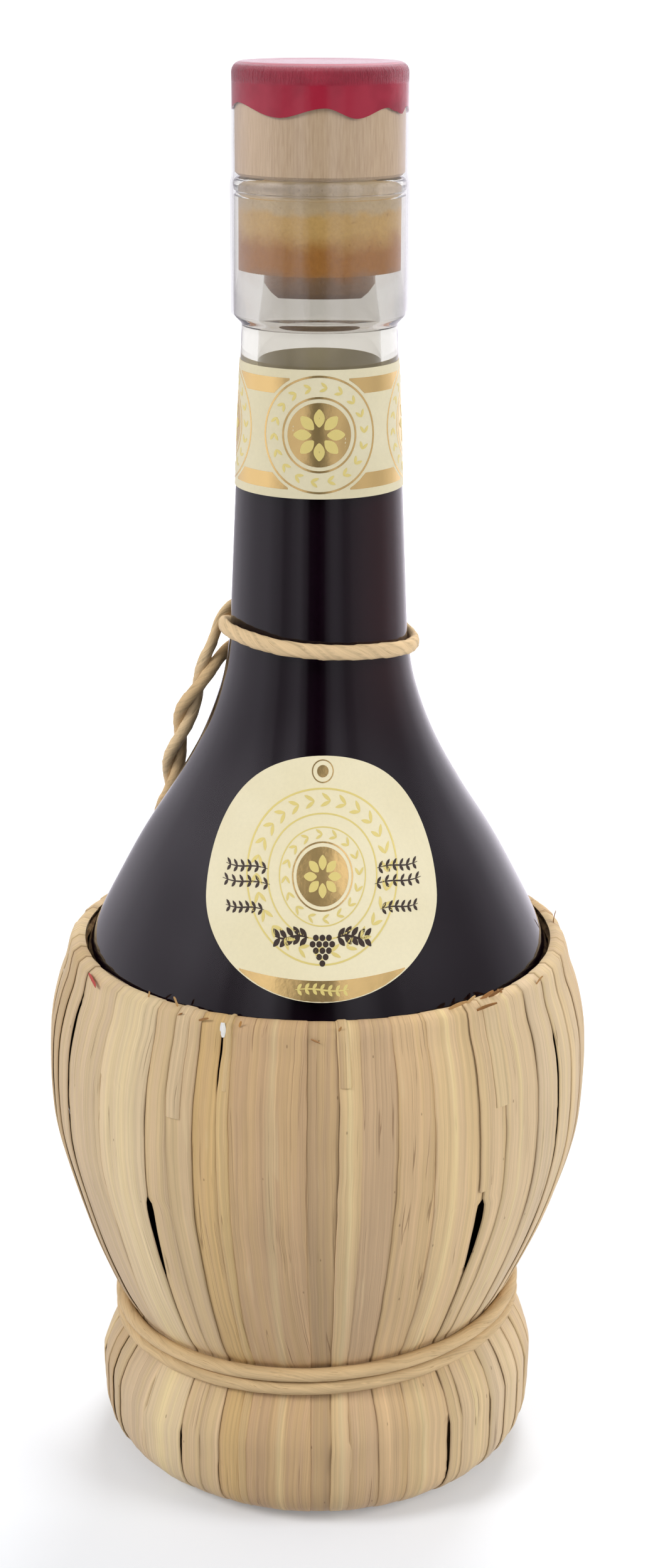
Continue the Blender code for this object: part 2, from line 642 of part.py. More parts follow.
def smooth_route(route, step, guides=0):
    """Points at about equal steps along a smooth curve through the route's own points.

    As many of its first and last points as there are guides only steer the curve's ends."""
    points = []
    for i in range(guides, len(route) - 1 - guides):
        start, end = route[i], route[i + 1]
        leave = (end - route[max(i - 1, 0)]) / 2
        arrive = (route[min(i + 2, len(route) - 1)] - start) / 2
        count = max(1, round((end - start).length / step))
        for k in range(count):
            t = k / count
            points.append(
                start * (2 * t**3 - 3 * t**2 + 1) + leave * (t**3 - 2 * t**2 + t)
                + end * (3 * t**2 - 2 * t**3) + arrive * (t**3 - t**2)
            )
    return points + [route[-1 - guides]]


def twisted_side(pair, turns, phase):
    """One strand of a twisted pair, along the pair's middle line."""
    middle = smooth_route([Vector(p) * MM for p in pair[:-1]], CORD_STEP)
    strand = []
    for i, point in enumerate(middle):
        along = (middle[min(i + 1, len(middle) - 1)] - middle[max(i - 1, 0)]).normalized()
        outward = Vector((point.x, point.y, 0)).normalized()
        side = along.cross(outward).normalized()
        other = along.cross(side)
        angle = phase + FULL_TURN * turns * (i / (len(middle) - 1) - 1)
        strand.append(point + (side * math.cos(angle) + other * math.sin(angle)) * CORD_PAIR_SPACING / 2)
    foot = Vector(pair[-1]) * MM
    rim_top = HOOP_LEVEL + HOOP_RADIUS + HOOP_GAP + BLADE_THICKNESS
    drop = strand[-1] - middle[-1]
    strand.append(Vector((foot.x, foot.y, rim_top + CORD_END_GAP)) + Vector((drop.x, drop.y, 0)))
    return strand


def carrying_cord(made_of):
    """Both strands of the carrying cord, tied round the neck and held at the rim on both sides."""
    strands = (("neck_cord_loop", NECK_LOOP_MM, math.pi), ("neck_cord_strand", NECK_PASS_MM, 0.0))
    for name, between, phase in strands:
        left = twisted_side(LEFT_PAIR_MM, LEFT_PAIR_TURNS, phase)
        right = twisted_side(RIGHT_PAIR_MM, RIGHT_PAIR_TURNS, phase)
        neck = [Vector(point) * MM for point in between]
        across = smooth_route([left[1], left[0]] + neck + [right[0], right[1]], CORD_STEP, guides=1)
        points = left[::-1] + across[1:-1] + right
        tube(name, points, CORD_DIAMETER, CORD_SIDES_RESOLUTION, made_of)


def axis_empty(name, level, parent=None):
    """An empty on the bottle's axis that carries what slides along it."""
    made = bpy.data.objects.new(name, None)
    bpy.context.scene.collection.objects.link(made)
    made.location = (0, 0, level)
    place_under(made, parent)
    return made


def build():
    for old in list(bpy.data.objects):
        bpy.data.objects.remove(old)
    straws = [
        material("straw_tan", (0.60, 0.43, 0.23), 0.6),
        material("straw_cream", (0.72, 0.58, 0.36), 0.6),
        material("straw_brown", (0.46, 0.30, 0.15), 0.65),
    ]
    twine = material("twine", (0.66, 0.48, 0.26), 0.7)
    paper = material("label_paper", (0.80, 0.76, 0.52), 0.55)
    glass_bottle(material("flask_glass", (0.90, 0.93, 0.92), 0.03, transmission=1.0))
    condiment(material("dark_condiment", (0.016, 0.010, 0.012), 0.1))
    stopper = axis_empty("stopper_axis", LIP_LEVEL)
    stopper_head(material("beech", (0.72, 0.52, 0.30), 0.5), stopper)
    stopper_shank(material("cork", (0.52, 0.33, 0.17), 0.8), stopper)
    capsule = axis_empty("capsule_axis", CAPSULE_TOP, stopper)
    capsule_red(material("red_film", (0.33, 0.02, 0.05), 0.25), capsule)
    capsule_clear(material("clear_film", (0.95, 0.95, 0.95), 0.08, transmission=1.0), capsule)
    neck_label(paper)
    shoulder_label(paper)
    straw_blades(straws)
    rim_hoop(straws[2])
    base_ring(straws[0])
    waist_cord(twine)
    carrying_cord(twine)


build()
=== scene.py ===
"""Looks of the straw covered bottle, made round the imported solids. Metres, +Z up, origin on the table."""

import math
import random

import bpy
from mathutils import Matrix, Vector, noise

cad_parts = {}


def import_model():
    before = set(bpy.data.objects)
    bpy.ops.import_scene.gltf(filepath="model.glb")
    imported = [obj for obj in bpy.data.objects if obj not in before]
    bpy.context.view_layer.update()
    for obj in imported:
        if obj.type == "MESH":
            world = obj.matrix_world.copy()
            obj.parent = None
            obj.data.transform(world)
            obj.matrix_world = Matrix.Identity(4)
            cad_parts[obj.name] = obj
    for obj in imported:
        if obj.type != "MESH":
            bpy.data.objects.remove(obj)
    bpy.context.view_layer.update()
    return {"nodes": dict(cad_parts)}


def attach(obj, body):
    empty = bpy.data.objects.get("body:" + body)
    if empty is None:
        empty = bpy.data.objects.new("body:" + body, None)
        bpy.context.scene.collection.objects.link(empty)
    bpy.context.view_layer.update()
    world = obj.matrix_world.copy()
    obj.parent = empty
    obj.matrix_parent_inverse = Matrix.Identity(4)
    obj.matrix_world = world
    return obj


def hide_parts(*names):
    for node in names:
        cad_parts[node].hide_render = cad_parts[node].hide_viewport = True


MM = 0.001
SEED = 7
FULL_TURN = 2 * math.pi
FRONT = -math.pi / 2

# Camera
CAMERA_PLACE = (0.0, -448.2 * MM, 277.1 * MM)
CAMERA_PITCH = math.radians(17.96)
CAMERA_ROLL = math.radians(0.17)
CAMERA_LENS = 58.8
CAMERA_SHIFT = 0.0072
CAMERA_NEAREST = 10.0 * MM

# Flask, repeated from the solids
FOOT_LEVEL = 14.0 * MM
BELLY_LEVEL = 78.0 * MM
BELLY_RADIUS = 47.4 * MM
NECK_LEVEL = 160.0 * MM
NECK_FOOT_RADIUS = 16.0 * MM
NECK_TOP_RADIUS = 13.5 * MM
COLLAR_LEVEL = 217.0 * MM
COLLAR_RADIUS = 14.9 * MM
COLLAR_STEP = 0.9 * MM
LIP_LEVEL = 241.0 * MM
LIP_HEIGHT = 2.6 * MM
LIP_GROOVE = 0.5 * MM
LIP_ROUNDING = 1.2 * MM
GLASS_WALL = 3.0 * MM
BORE_RADIUS = 9.5 * MM
BORE_ROUNDING = 0.6 * MM
BORE_FLARE = 1.0 * MM
BORE_FOOT_LEVEL = 226.6 * MM
FILL_LEVEL = 200.0 * MM
FILL_CLIMB = 0.5 * MM
FLOOR_EDGE_SHARE = 0.96
CONTACT = 0.05 * MM
WETTING = 0.18 * MM
FLASK_SEGMENTS = 160
BOWL_SHARES = (
    (0.0, 0.25), (0.125, 0.48), (0.31, 0.70), (0.5, 0.835), (0.69, 0.932), (0.85, 0.985), (1.0, 1.0),
)
SHOULDER_SHARES = (
    (0.0, 1.0), (0.12, 0.981), (0.24, 0.899), (0.34, 0.797), (0.44, 0.667), (0.54, 0.526),
    (0.66, 0.329), (0.78, 0.161), (0.90, 0.048), (1.0, 0.0),
)

# Stopper and capsule
HEAD_LEVEL = 241.3 * MM
HEAD_TOP = 259.5 * MM
HEAD_RADIUS = 14.55 * MM
HEAD_ROUNDING = 1.9 * MM
HEAD_CHAMFER = 0.5 * MM
SOCKET_GAP = 0.2 * MM
SHANK_TOP = 244.1 * MM
SHANK_BOTTOM = 221.6 * MM
SHANK_BEVEL = 2.4 * MM
SHANK_FREE_DEPTH = 1.4 * MM
STOPPER_SEGMENTS = 96
CAPSULE_TOP = 260.0 * MM
CAPSULE_WALL = 0.3 * MM
CAPSULE_FIT = 0.2 * MM
CAPSULE_ROUNDING = 1.8 * MM
CAPSULE_BOTTOM = 218.0 * MM
# Dish in the capsule's top: share of its flat's radius, and depth in millimetres
CAPSULE_DISH = ((0.5, 0.12), (0.76, 0.12), (0.82, 0.05), (0.9, 0.0))
FILM_STEP_BELOW_LIP = 1.4 * MM
FILM_STEP_HEIGHT = 2.2 * MM
FILM_TOP_WALL_SHARE = 0.7
FILM_WOBBLE = 0.05 * MM
FILM_WAVES_ROUND = 4.5
FILM_WAVE_HEIGHT = 9.0 * MM
FILM_SEGMENTS = 240
RED_ROWS = 9
SLEEVE_ROWS = 60
# Edge of the red cap: degrees round from the front, and its height in millimetres
RED_EDGE = (
    (-180, 252.4), (-150, 253.4), (-120, 251.5), (-92, 252.0), (-65, 253.5), (-27, 251.4), (3, 253.0),
    (24, 251.3), (48, 252.9), (57, 252.2), (65, 251.7), (74, 252.8), (100, 251.4), (128, 253.2), (152, 251.4),
    (180, 252.4),
)

# Labels
LABEL_THICKNESS = 0.16 * MM
LABEL_SINK = 0.03 * MM
FOIL_RISE = 0.03 * MM
NECK_LABEL_TOP = 210.0 * MM
NECK_LABEL_BOTTOM = 188.0 * MM
NECK_LABEL_MIDDLE = (NECK_LABEL_TOP + NECK_LABEL_BOTTOM) / 2
NECK_LABEL_HALF = (NECK_LABEL_TOP - NECK_LABEL_BOTTOM) / 2
SHOULDER_LABEL_TOP = 143.6 * MM
SHOULDER_LABEL_BOTTOM = 105.6 * MM
SHOULDER_LABEL_WAIST_SHARE = 0.6
SHOULDER_LABEL_HALF_WIDTH = 21.6 * MM
SHOULDER_LABEL_SHIFT = 0.8 * MM
SHOULDER_LABEL_HEIGHT = SHOULDER_LABEL_TOP - SHOULDER_LABEL_BOTTOM
SHOULDER_MIDDLE = SHOULDER_LABEL_TOP - SHOULDER_LABEL_HEIGHT * SHOULDER_LABEL_WAIST_SHARE
SHOULDER_UPPER = SHOULDER_LABEL_TOP - SHOULDER_MIDDLE
SHOULDER_LOWER = SHOULDER_MIDDLE - SHOULDER_LABEL_BOTTOM

# Straw dress
HOOP_LEVEL = 101.4 * MM
HOOP_RADIUS = 0.6 * MM
HOOP_GAP = 0.3 * MM
STRAW_GAP = 0.7 * MM
RIM_LEAD = 4.0 * MM
WAIST_TOP = 34.2 * MM
WAIST_BOTTOM = 28.4 * MM
BASE_SWELL = 5.3 * MM
BASE_FLAT_INSET = 1.2 * MM
BASE_INNER_RADIUS = 24.0 * MM
BLADE_FOOT = 0.75 * MM
BASE_SHARES = ((0.93, 0.3), (0.82, 0.65), (0.62, 0.88), (0.42, 1.0), (0.22, 0.93), (0.09, 0.46))

# Waist cord and carrying cord, repeated from the solids
WAIST_CORD_RADIUS = 3.75 * MM
WAIST_HEIGHT = 31.3 * MM
WAIST_TURN_PITCH = 2.65 * MM
WAIST_CORD_DIAMETER = 2.65 * MM
WAIST_STEPS_PER_TURN = 24
WAIST_TURNS = 1.833
WAIST_CLIMB_START = math.radians(300)
WAIST_CLIMB_SPAN = math.radians(60)
WAIST_START_ANGLE = math.radians(120)
CORD_STEP = 4.9 * MM
CORD_END_LEVEL = 103.35 * MM
LEFT_PAIR_TURNS = 1.75
RIGHT_PAIR_TURNS = 1.5
# Middle line of each twisted pair from the neck down to the rim, in millimetres
LEFT_PAIR_MM = (
    (-20.2, 6.2, 153.2), (-23.1, 9.2, 146.4), (-25.5, 12.6, 139.6), (-27.2, 16.9, 132.2),
    (-28.6, 21.4, 124.4), (-30.0, 25.8, 116.4), (-32.0, 29.5, 108.8), (-32.2, 30.0, 103.9),
)
RIGHT_PAIR_MM = (
    (13.2, 17.4, 149.2), (15.8, 18.9, 142.4), (19.1, 20.3, 135.8), (22.9, 21.9, 129.0),
    (27.0, 23.9, 121.8), (31.0, 25.5, 114.6), (34.7, 26.6, 107.8), (35.2, 26.5, 103.9),
)
# First strand between the pairs: behind the neck, round its front and behind it again
NECK_LOOP_MM = (
    (-20.1, 6.0, 157.3), (-18.1, 9.0, 161.6), (-13.8, 13.1, 164.0), (-7.4, 16.9, 164.4),
    (-0.6, 18.2, 163.4), (6.0, 17.1, 162.0), (11.8, 13.4, 160.5), (16.3, 7.8, 159.4),
    (18.0, 1.2, 159.0), (17.0, -5.6, 159.6), (12.9, -12.3, 160.5), (7.0, -16.4, 161.1),
    (0.2, -17.85, 161.5), (-6.6, -16.5, 161.9), (-12.5, -12.8, 162.5), (-16.5, -7.2, 162.8),
    (-17.8, -0.6, 162.4), (-16.5, 6.4, 160.7), (-12.4, 13.0, 159.2), (-6.4, 17.0, 158.0),
    (0.2, 18.4, 157.0), (6.4, 18.2, 155.6), (11.0, 17.4, 153.3),
)
# Second strand between the pairs, low behind the neck
NECK_PASS_MM = (
    (-18.0, 7.4, 154.6), (-16.0, 10.6, 155.7), (-12.2, 14.8, 155.6), (-6.6, 18.1, 154.9),
    (-0.2, 19.2, 153.9), (5.8, 18.9, 152.3), (10.0, 18.1, 150.2),
)
# How the twisted paper gives where it lies on itself and on the glass, which solid strands can't
TWINE_SPACING = 2.15 * MM
TWINE_DIAMETER = 2.5 * MM
TWINE_PRESS = 0.7 * MM
TWINE_FLATTENED_SHARE = 0.2
TWINE_LEAST_STANDOFF = 1.05 * MM
NECK_RING_LEVEL = 152.5 * MM
NECK_RING_EASE = 4.0 * MM
# The twine's own making: how finely it is drawn, how long a turn of its folds is, and how they wander
TWINE_SIDES = 30
TWINE_STEP = 0.7 * MM
CARRYING_LAY = 13.0 * MM
WAIST_LAY = 44.0 * MM
WAIST_CORD_TONE = (208, 179, 135)
WANDER_LENGTH = 7.0 * MM
SWELL_LENGTH = 5.0 * MM
# Folds of the twisted paper: where each runs round the twine, as a share of a turn, and how deep it is
TWINE_FOLDS = ((0.0, 1.0), (0.24, 0.55), (0.43, 0.85), (0.71, 0.7))


def linear(colour):
    """A colour written as 0 to 255 in sRGB, as the linear values that shaders take."""
    shares = [c / 255 for c in colour]
    return tuple(((c + 0.055) / 1.055) ** 2.4 if c > 0.04045 else c / 12.92 for c in shares)


def clamp(value, low=0.0, high=1.0):
    return min(max(value, low), high)


def eased(share):
    share = clamp(share)
    return share * share * (3 - 2 * share)


def blend(a, b, share):
    return a + (b - a) * share


def spread(first, last, count):
    return [first + (last - first) * i / (count - 1) for i in range(count)]


def hermite(start, leave, end, arrive, t):
    """A point on a smooth curve from start to end, with the ways in which it leaves and arrives."""
    return (
        start * (2 * t**3 - 3 * t**2 + 1) + leave * (t**3 - 2 * t**2 + t)
        + end * (3 * t**2 - 2 * t**3) + arrive * (t**3 - t**2)
    )


def smooth_share(pairs, share):
    """Reads a table of pairs as one smooth curve through its points."""
    share = clamp(share, pairs[0][0], pairs[-1][0])
    index = max(i for i in range(len(pairs) - 1) if pairs[i][0] <= share)
    slopes = []
    for i in (index, index + 1):
        before = pairs[max(i - 1, 0)]
        after = pairs[min(i + 1, len(pairs) - 1)]
        slopes.append((after[1] - before[1]) / (after[0] - before[0]))
    (x0, y0), (x1, y1) = pairs[index], pairs[index + 1]
    width = x1 - x0
    return hermite(y0, slopes[0] * width, y1, slopes[1] * width, (share - x0) / width)


def flask_radius(level):
    """Outside radius of the flask's body at a height above the table."""
    if level <= BELLY_LEVEL:
        return BELLY_RADIUS * smooth_share(BOWL_SHARES, (level - FOOT_LEVEL) / (BELLY_LEVEL - FOOT_LEVEL))
    if level <= NECK_LEVEL:
        over_neck = smooth_share(SHOULDER_SHARES, (level - BELLY_LEVEL) / (NECK_LEVEL - BELLY_LEVEL))
        return NECK_FOOT_RADIUS + (BELLY_RADIUS - NECK_FOOT_RADIUS) * over_neck
    return blend(NECK_FOOT_RADIUS, NECK_TOP_RADIUS, (level - NECK_LEVEL) / (COLLAR_LEVEL - NECK_LEVEL))


def step_over(points, i):
    """The way from the point before one of a row to the point after it."""
    return points[min(i + 1, len(points) - 1)] - points[max(i - 1, 0)]


def normals_of(points):
    """Unit normals of an outline that runs downwards on the outside, pointing outwards."""
    points = [Vector(point) for point in points]
    ways = [step_over(points, i).normalized() for i in range(len(points))]
    return [Vector((-way.y, way.x)) for way in ways]


def moved_out(points, distance):
    return [tuple(Vector(point) + normal * distance) for point, normal in zip(points, normals_of(points))]


def around(radius, angle, level):
    return Vector((radius * math.cos(angle), radius * math.sin(angle), level))


# Meshes


def mesh_piece(name, verts, faces, material, body, replaces=(), slot=None, sharp=None):
    """A smooth shaded piece that rides on a body."""
    mesh = bpy.data.meshes.new(name)
    mesh.from_pydata([tuple(v) for v in verts], [], faces)
    mesh.materials.append(material)
    mesh.shade_smooth()
    if sharp:
        mesh.set_sharp_from_angle(angle=math.radians(sharp))
    made = bpy.data.objects.new(name, mesh)
    bpy.context.scene.collection.objects.link(made)
    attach(made, body)
    if replaces:
        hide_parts(*replaces)
    return made


def paint(piece, name, kind, values):
    """Keeps one value for each point of a piece's mesh, for its material to read."""
    layer = piece.data.attributes.new(name, kind, "POINT")
    flat = [part for value in values for part in value]
    layer.data.foreach_set("color" if kind == "FLOAT_COLOR" else "vector", flat)


def skinned(rings, closed=False):
    """Points and faces over a row of rings with equal counts of points, capped where it isn't closed."""
    verts = [point for ring in rings for point in ring]
    count = len(rings[0])
    faces = []
    for row in range(len(rings) if closed else len(rings) - 1):
        this = row * count
        following = (row + 1) % len(rings) * count
        for i in range(count):
            after = (i + 1) % count
            faces.append((this + i, this + after, following + after, following + i))
    if not closed:
        faces.append(tuple(range(count))[::-1])
        faces.append(tuple(range(len(verts) - count, len(verts))))
    return verts, faces


def joined(parts):
    """Points and faces of several forms as one."""
    verts, faces = [], []
    for some_verts, some_faces in parts:
        faces += [tuple(len(verts) + i for i in face) for face in some_faces]
        verts += some_verts
    return verts, faces


def turned(outline, segments):
    """Points and faces of a closed outline of (radius, height) turned about the axis."""
    verts = []
    rows = []
    for radius, level in outline:
        if radius < CONTACT / 10:
            rows.append([len(verts)])
            verts.append(Vector((0, 0, level)))
            continue
        rows.append(list(range(len(verts), len(verts) + segments)))
        verts += [around(radius, FULL_TURN * i / segments, level) for i in range(segments)]
    faces = []
    for row, following in zip(rows, rows[1:] + rows[:1]):
        if len(row) == len(following) == 1:
            continue
        for i in range(segments):
            after = (i + 1) % segments
            corners = (row[i % len(row)], following[i % len(following)],
                       following[after % len(following)], row[after % len(row)])
            faces.append(tuple(dict.fromkeys(corners)))
    return verts, faces


def rounded(middle, radius, count, start, end):
    """Points of a rounding about its middle, from one angle in degrees to another."""
    turns = [math.radians(angle) for angle in spread(start, end, count)]
    return [(middle[0] + radius * math.cos(turn), middle[1] + radius * math.sin(turn)) for turn in turns]


# Materials


# How deep the relief of each material is
STRAW_RELIEF = 0.06 * MM
PACKED_STRAW_RELIEF = 0.4 * MM
TWINE_RELIEF = 0.12 * MM
GLASS_RELIEF = 0.12 * MM
BEECH_RELIEF = 0.04 * MM
CORK_RELIEF = 0.25 * MM
RED_FILM_RELIEF = 0.7 * MM
CLEAR_FILM_RELIEF = 0.3 * MM
PAPER_RELIEF = 0.02 * MM
FOIL_RELIEF = 0.4 * MM
# Painted light on the filling, which turns red brown towards the right as if lit through: how far to the
# right and how high that starts and is whole
RED_BROWN_ACROSS = (3.0 * MM, 13.0 * MM)
RED_BROWN_LEVELS = (135.0 * MM, 165.0 * MM)
# How far up and down the borders between the cork's tones wander
CORK_WOBBLE = 1.0 * MM
# Heights between which the red film's puckers come and go, and where a painted sheen makes its top paler
PUCKERS_COME = (256.4 * MM, 257.8 * MM)
PUCKERS_GO = (259.8 * MM, 259.4 * MM)
SHEEN_LEVELS = (258.6 * MM, 259.7 * MM)


class Nodes:
    """Short ways to add and join the nodes of one tree."""

    def __init__(self, tree):
        self.tree = tree

    def feed(self, socket, value):
        if isinstance(value, bpy.types.NodeSocket):
            self.tree.links.new(value, socket)
        else:
            socket.default_value = value

    def node(self, kind, **settings):
        made = self.tree.nodes.new("ShaderNode" + kind)
        for name, value in settings.items():
            setattr(made, name, value)
        return made

    def wired(self, kind, *values, **settings):
        """The first output of a new node whose first inputs are fed in order."""
        made = self.node(kind, **settings)
        for socket, value in zip(made.inputs, values):
            self.feed(socket, value)
        return made.outputs[0]

    def sums(self, operation, *values):
        return self.wired("Math", *values, operation=operation)

    def product(self, *values):
        """Several values multiplied one after another."""
        result = values[0]
        for value in values[1:]:
            result = self.sums("MULTIPLY", result, value)
        return result

    def parts(self, vector):
        made = self.node("SeparateXYZ")
        self.feed(made.inputs[0], vector)
        return made.outputs


class Look(Nodes):
    """One material of the scene, which starts from a plain shader."""

    def __init__(self, name, colour=(128, 128, 128), roughness=0.5, specular=0.5):
        self.material = bpy.data.materials.new(name)
        self.material.use_nodes = True
        super().__init__(self.material.node_tree)
        self.shader = self.tree.nodes["Principled BSDF"]
        self.set("Base Color", (*linear(colour), 1.0))
        self.set("Roughness", roughness)
        self.set("Specular IOR Level", specular)

    def set(self, socket, value):
        self.feed(self.shader.inputs[socket], value)

    def show(self, surface):
        self.feed(self.tree.nodes["Material Output"].inputs["Surface"], surface)

    def noise(self, vector, scale, detail=2.0, roughness=0.5, distortion=0.0):
        made = self.node("TexNoise")
        settings = {"Vector": vector, "Scale": scale, "Detail": detail, "Roughness": roughness}
        for name, value in settings.items():
            self.feed(made.inputs[name], value)
        made.inputs["Distortion"].default_value = distortion
        return made.outputs["Fac"]

    def stretched(self, vector, factors):
        return self.wired("VectorMath", vector, factors, operation="MULTIPLY")

    def streaks(self, lay, across, along, detail=2.0, roughness=0.5, scale=1.0, distortion=0.0):
        """Noise along a blade or twine, at a scale across it and one along it, for each millimetre."""
        return self.noise(self.stretched(lay, (across, along, 1.0)), scale, detail, roughness, distortion)

    def upright(self, share, scale, detail=2.0, roughness=0.5):
        """Noise that is drawn out upwards."""
        return self.noise(self.stretched(self.place(), (1.0, 1.0, share)), scale, detail, roughness)

    def ramp(self, value, low, high, to_low=0.0, to_high=1.0):
        return self.wired("MapRange", value, low, high, to_low, to_high, interpolation_type="SMOOTHSTEP")

    def mix(self, share, a, b, kind="MIX"):
        made = self.node("Mix", data_type="RGBA", blend_type=kind)
        self.feed(made.inputs[0], share)
        for socket, colour in ((made.inputs[6], a), (made.inputs[7], b)):
            self.feed(socket, colour if isinstance(colour, bpy.types.NodeSocket) else (*linear(colour), 1.0))
        return made.outputs[2]

    def brightness(self, colour, factor):
        """A colour times a factor that is itself a node's output."""
        made = self.node("VectorMath", operation="SCALE")
        self.feed(made.inputs[0], colour)
        self.feed(made.inputs["Scale"], factor)
        return made.outputs[0]

    def kept(self, name, output):
        """A value that paint() kept on the points of the mesh."""
        return self.node("Attribute", attribute_name=name).outputs[output]

    def bump(self, height, distance, strength=1.0, shader=None):
        made = self.node("Bump")
        made.inputs["Strength"].default_value = strength
        made.inputs["Distance"].default_value = distance
        self.feed(made.inputs["Height"], height)
        self.feed((shader or self.shader).inputs["Normal"], made.outputs[0])

    def place(self):
        return self.node("TexCoord").outputs["Object"]


def straw_look():
    """Dried leaf: broad bands and fine parallel lines along the blade, blotches, thin cracks and specks."""
    look = Look("straw", roughness=0.6, specular=0.24)
    tone, lay = look.kept("tone", "Color"), look.kept("lay", "Vector")
    bands = look.streaks(lay, 0.42, 0.007, 1.0)
    lines = look.streaks(lay, 1.7, 0.012, 2.0, 0.6)
    fibres = look.streaks(lay, 4.6, 0.03, 2.0, 0.6)
    clouds = look.streaks(lay, 0.22, 0.06, 3.0)
    light = look.product(
        look.ramp(fibres, 0.25, 0.75, 0.90, 1.06), look.ramp(lines, 0.28, 0.72, 0.90, 1.06),
        look.ramp(bands, 0.3, 0.7, 0.95, 1.04), look.ramp(clouds, 0.3, 0.75, 1.025, 0.96),
    )
    body = look.brightness(tone, light)
    hues = look.streaks(lay, 0.5, 0.012, 1.0, scale=1.3)
    yellowed = look.mix(1.0, body, (255, 254, 248), "MULTIPLY")
    greyed = look.mix(1.0, body, (253, 251, 252), "MULTIPLY")
    body = look.mix(look.ramp(hues, 0.42, 0.56), yellowed, greyed)
    veins = look.streaks(lay, 0.85, 0.012, 1.0, distortion=0.2)
    off_vein = look.sums("ABSOLUTE", look.sums("SUBTRACT", veins, 0.5))
    fits = look.streaks(lay, 0.25, 0.04, scale=1.3)
    crack = look.product(look.ramp(off_vein, 0.003, 0.009, 1.0, 0.0), look.ramp(fits, 0.52, 0.6))
    body = look.mix(look.product(crack, 0.5), body, (112, 80, 50))
    pale = look.product(look.ramp(off_vein, 0.014, 0.03, 1.0, 0.0), look.ramp(fits, 0.40, 0.32))
    body = look.mix(look.product(pale, 0.22), body, (218, 198, 154))
    dots = look.node("TexVoronoi")
    look.feed(dots.inputs["Vector"], look.stretched(lay, (0.32, 0.14, 1.0)))
    dots.inputs["Scale"].default_value = 1.0
    speck = look.ramp(dots.outputs["Distance"], 0.03, 0.055, 1.0, 0.0)
    look.set("Base Color", look.mix(look.product(speck, 0.5), body, (92, 66, 42)))
    height = look.sums("ADD", look.product(lines, 0.8), look.product(fibres, 0.9))
    look.bump(look.sums("SUBTRACT", height, crack), STRAW_RELIEF, 0.8)
    look.set("Roughness", look.ramp(lines, 0.2, 0.8, 0.54, 0.66))
    return look.material


def packed_straw_look():
    """Coarse packed straw inside the base and under the rim."""
    look = Look("packed_straw", roughness=0.7)
    strands = look.upright(0.2, 700.0, 3.0, 0.6)
    look.set("Base Color", look.mix(look.ramp(strands, 0.3, 0.7), (104, 76, 46), (176, 142, 98)))
    look.bump(strands, PACKED_STRAW_RELIEF, 0.8)
    return look.material


def twine_look():
    """Twisted paper twine: creases run along its lay, with darker stretches."""
    look = Look("twine", roughness=0.62, specular=0.3)
    tone, lay = look.kept("tone", "Color"), look.kept("lay", "Vector")
    creases = look.streaks(lay, 2.6, 0.10, 3.0, 0.6)
    clouds = look.streaks(lay, 0.3, 0.10)
    stray = look.streaks(lay, 5.0, 0.35, 1.0)
    light = look.product(look.ramp(creases, 0.28, 0.7, 0.89, 1.05), look.ramp(clouds, 0.3, 0.7, 0.94, 1.04))
    body = look.brightness(tone, light)
    look.set("Base Color", look.mix(look.ramp(stray, 0.69, 0.74, 0.0, 0.55), body, (132, 96, 56)))
    look.bump(creases, TWINE_RELIEF, 0.8)
    return look.material


def glass_look():
    """Clear glass that lets the lamps through, so that what stands in it is lit."""
    look = Look("flask_glass", (223, 220, 214), 0.0)
    look.set("Transmission Weight", 1.0)
    look.set("IOR", 1.46)
    look.bump(look.upright(0.5, 90.0, 1.0), GLASS_RELIEF, 0.35)
    shadow = look.node("LightPath").outputs["Is Shadow Ray"]
    through = look.wired("BsdfTransparent", (0.8, 0.8, 0.8, 1.0))
    look.show(look.wired("MixShader", shadow, look.shader.outputs[0], through))
    return look.material


def condiment_look():
    """Dark filling, seen only through the glass that it wets, with painted light: it turns red brown towards
    the right on the shoulder and up the neck.
    """
    look = Look("dark_condiment", (18, 6, 16), 0.4, 0.0)
    side, _, level = look.parts(look.place())
    # Painted light: share of red brown, growing towards the right and upwards, as if light came through the
    # filling there
    painted_light_share = look.product(look.ramp(side, *RED_BROWN_ACROSS), look.ramp(level, *RED_BROWN_LEVELS))
    look.set("Base Color", look.mix(painted_light_share, (18, 6, 16), (46, 16, 18)))
    return look.material


def beech_look():
    """Pale turned wood with short upright grain."""
    look = Look("beech", specular=0.35)
    grain = look.upright(0.06, 3800.0, 3.0, 0.6)
    flecks = look.upright(0.09, 2100.0)
    clouds = look.upright(0.4, 130.0)
    body = look.mix(look.ramp(grain, 0.25, 0.75), (178, 151, 121), (196, 171, 140))
    body = look.mix(look.ramp(flecks, 0.58, 0.74, 0.0, 0.45), body, (161, 132, 101))
    look.set("Base Color", look.mix(look.ramp(clouds, 0.35, 0.7, 0.0, 0.35), body, (199, 174, 146)))
    look.bump(grain, BEECH_RELIEF, 0.5)
    return look.material


# Tones of the cork from its wet end up: where each begins and is whole, in millimetres, and its colour
CORK_END_TONE = (150, 118, 88)
CORK_TONES = (
    (223.6, 226.6, (166, 114, 56)), (228.6, 233.2, (200, 164, 102)), (234.6, 236.4, (194, 172, 136)),
    (238.0, 239.4, (228, 210, 186)),
)


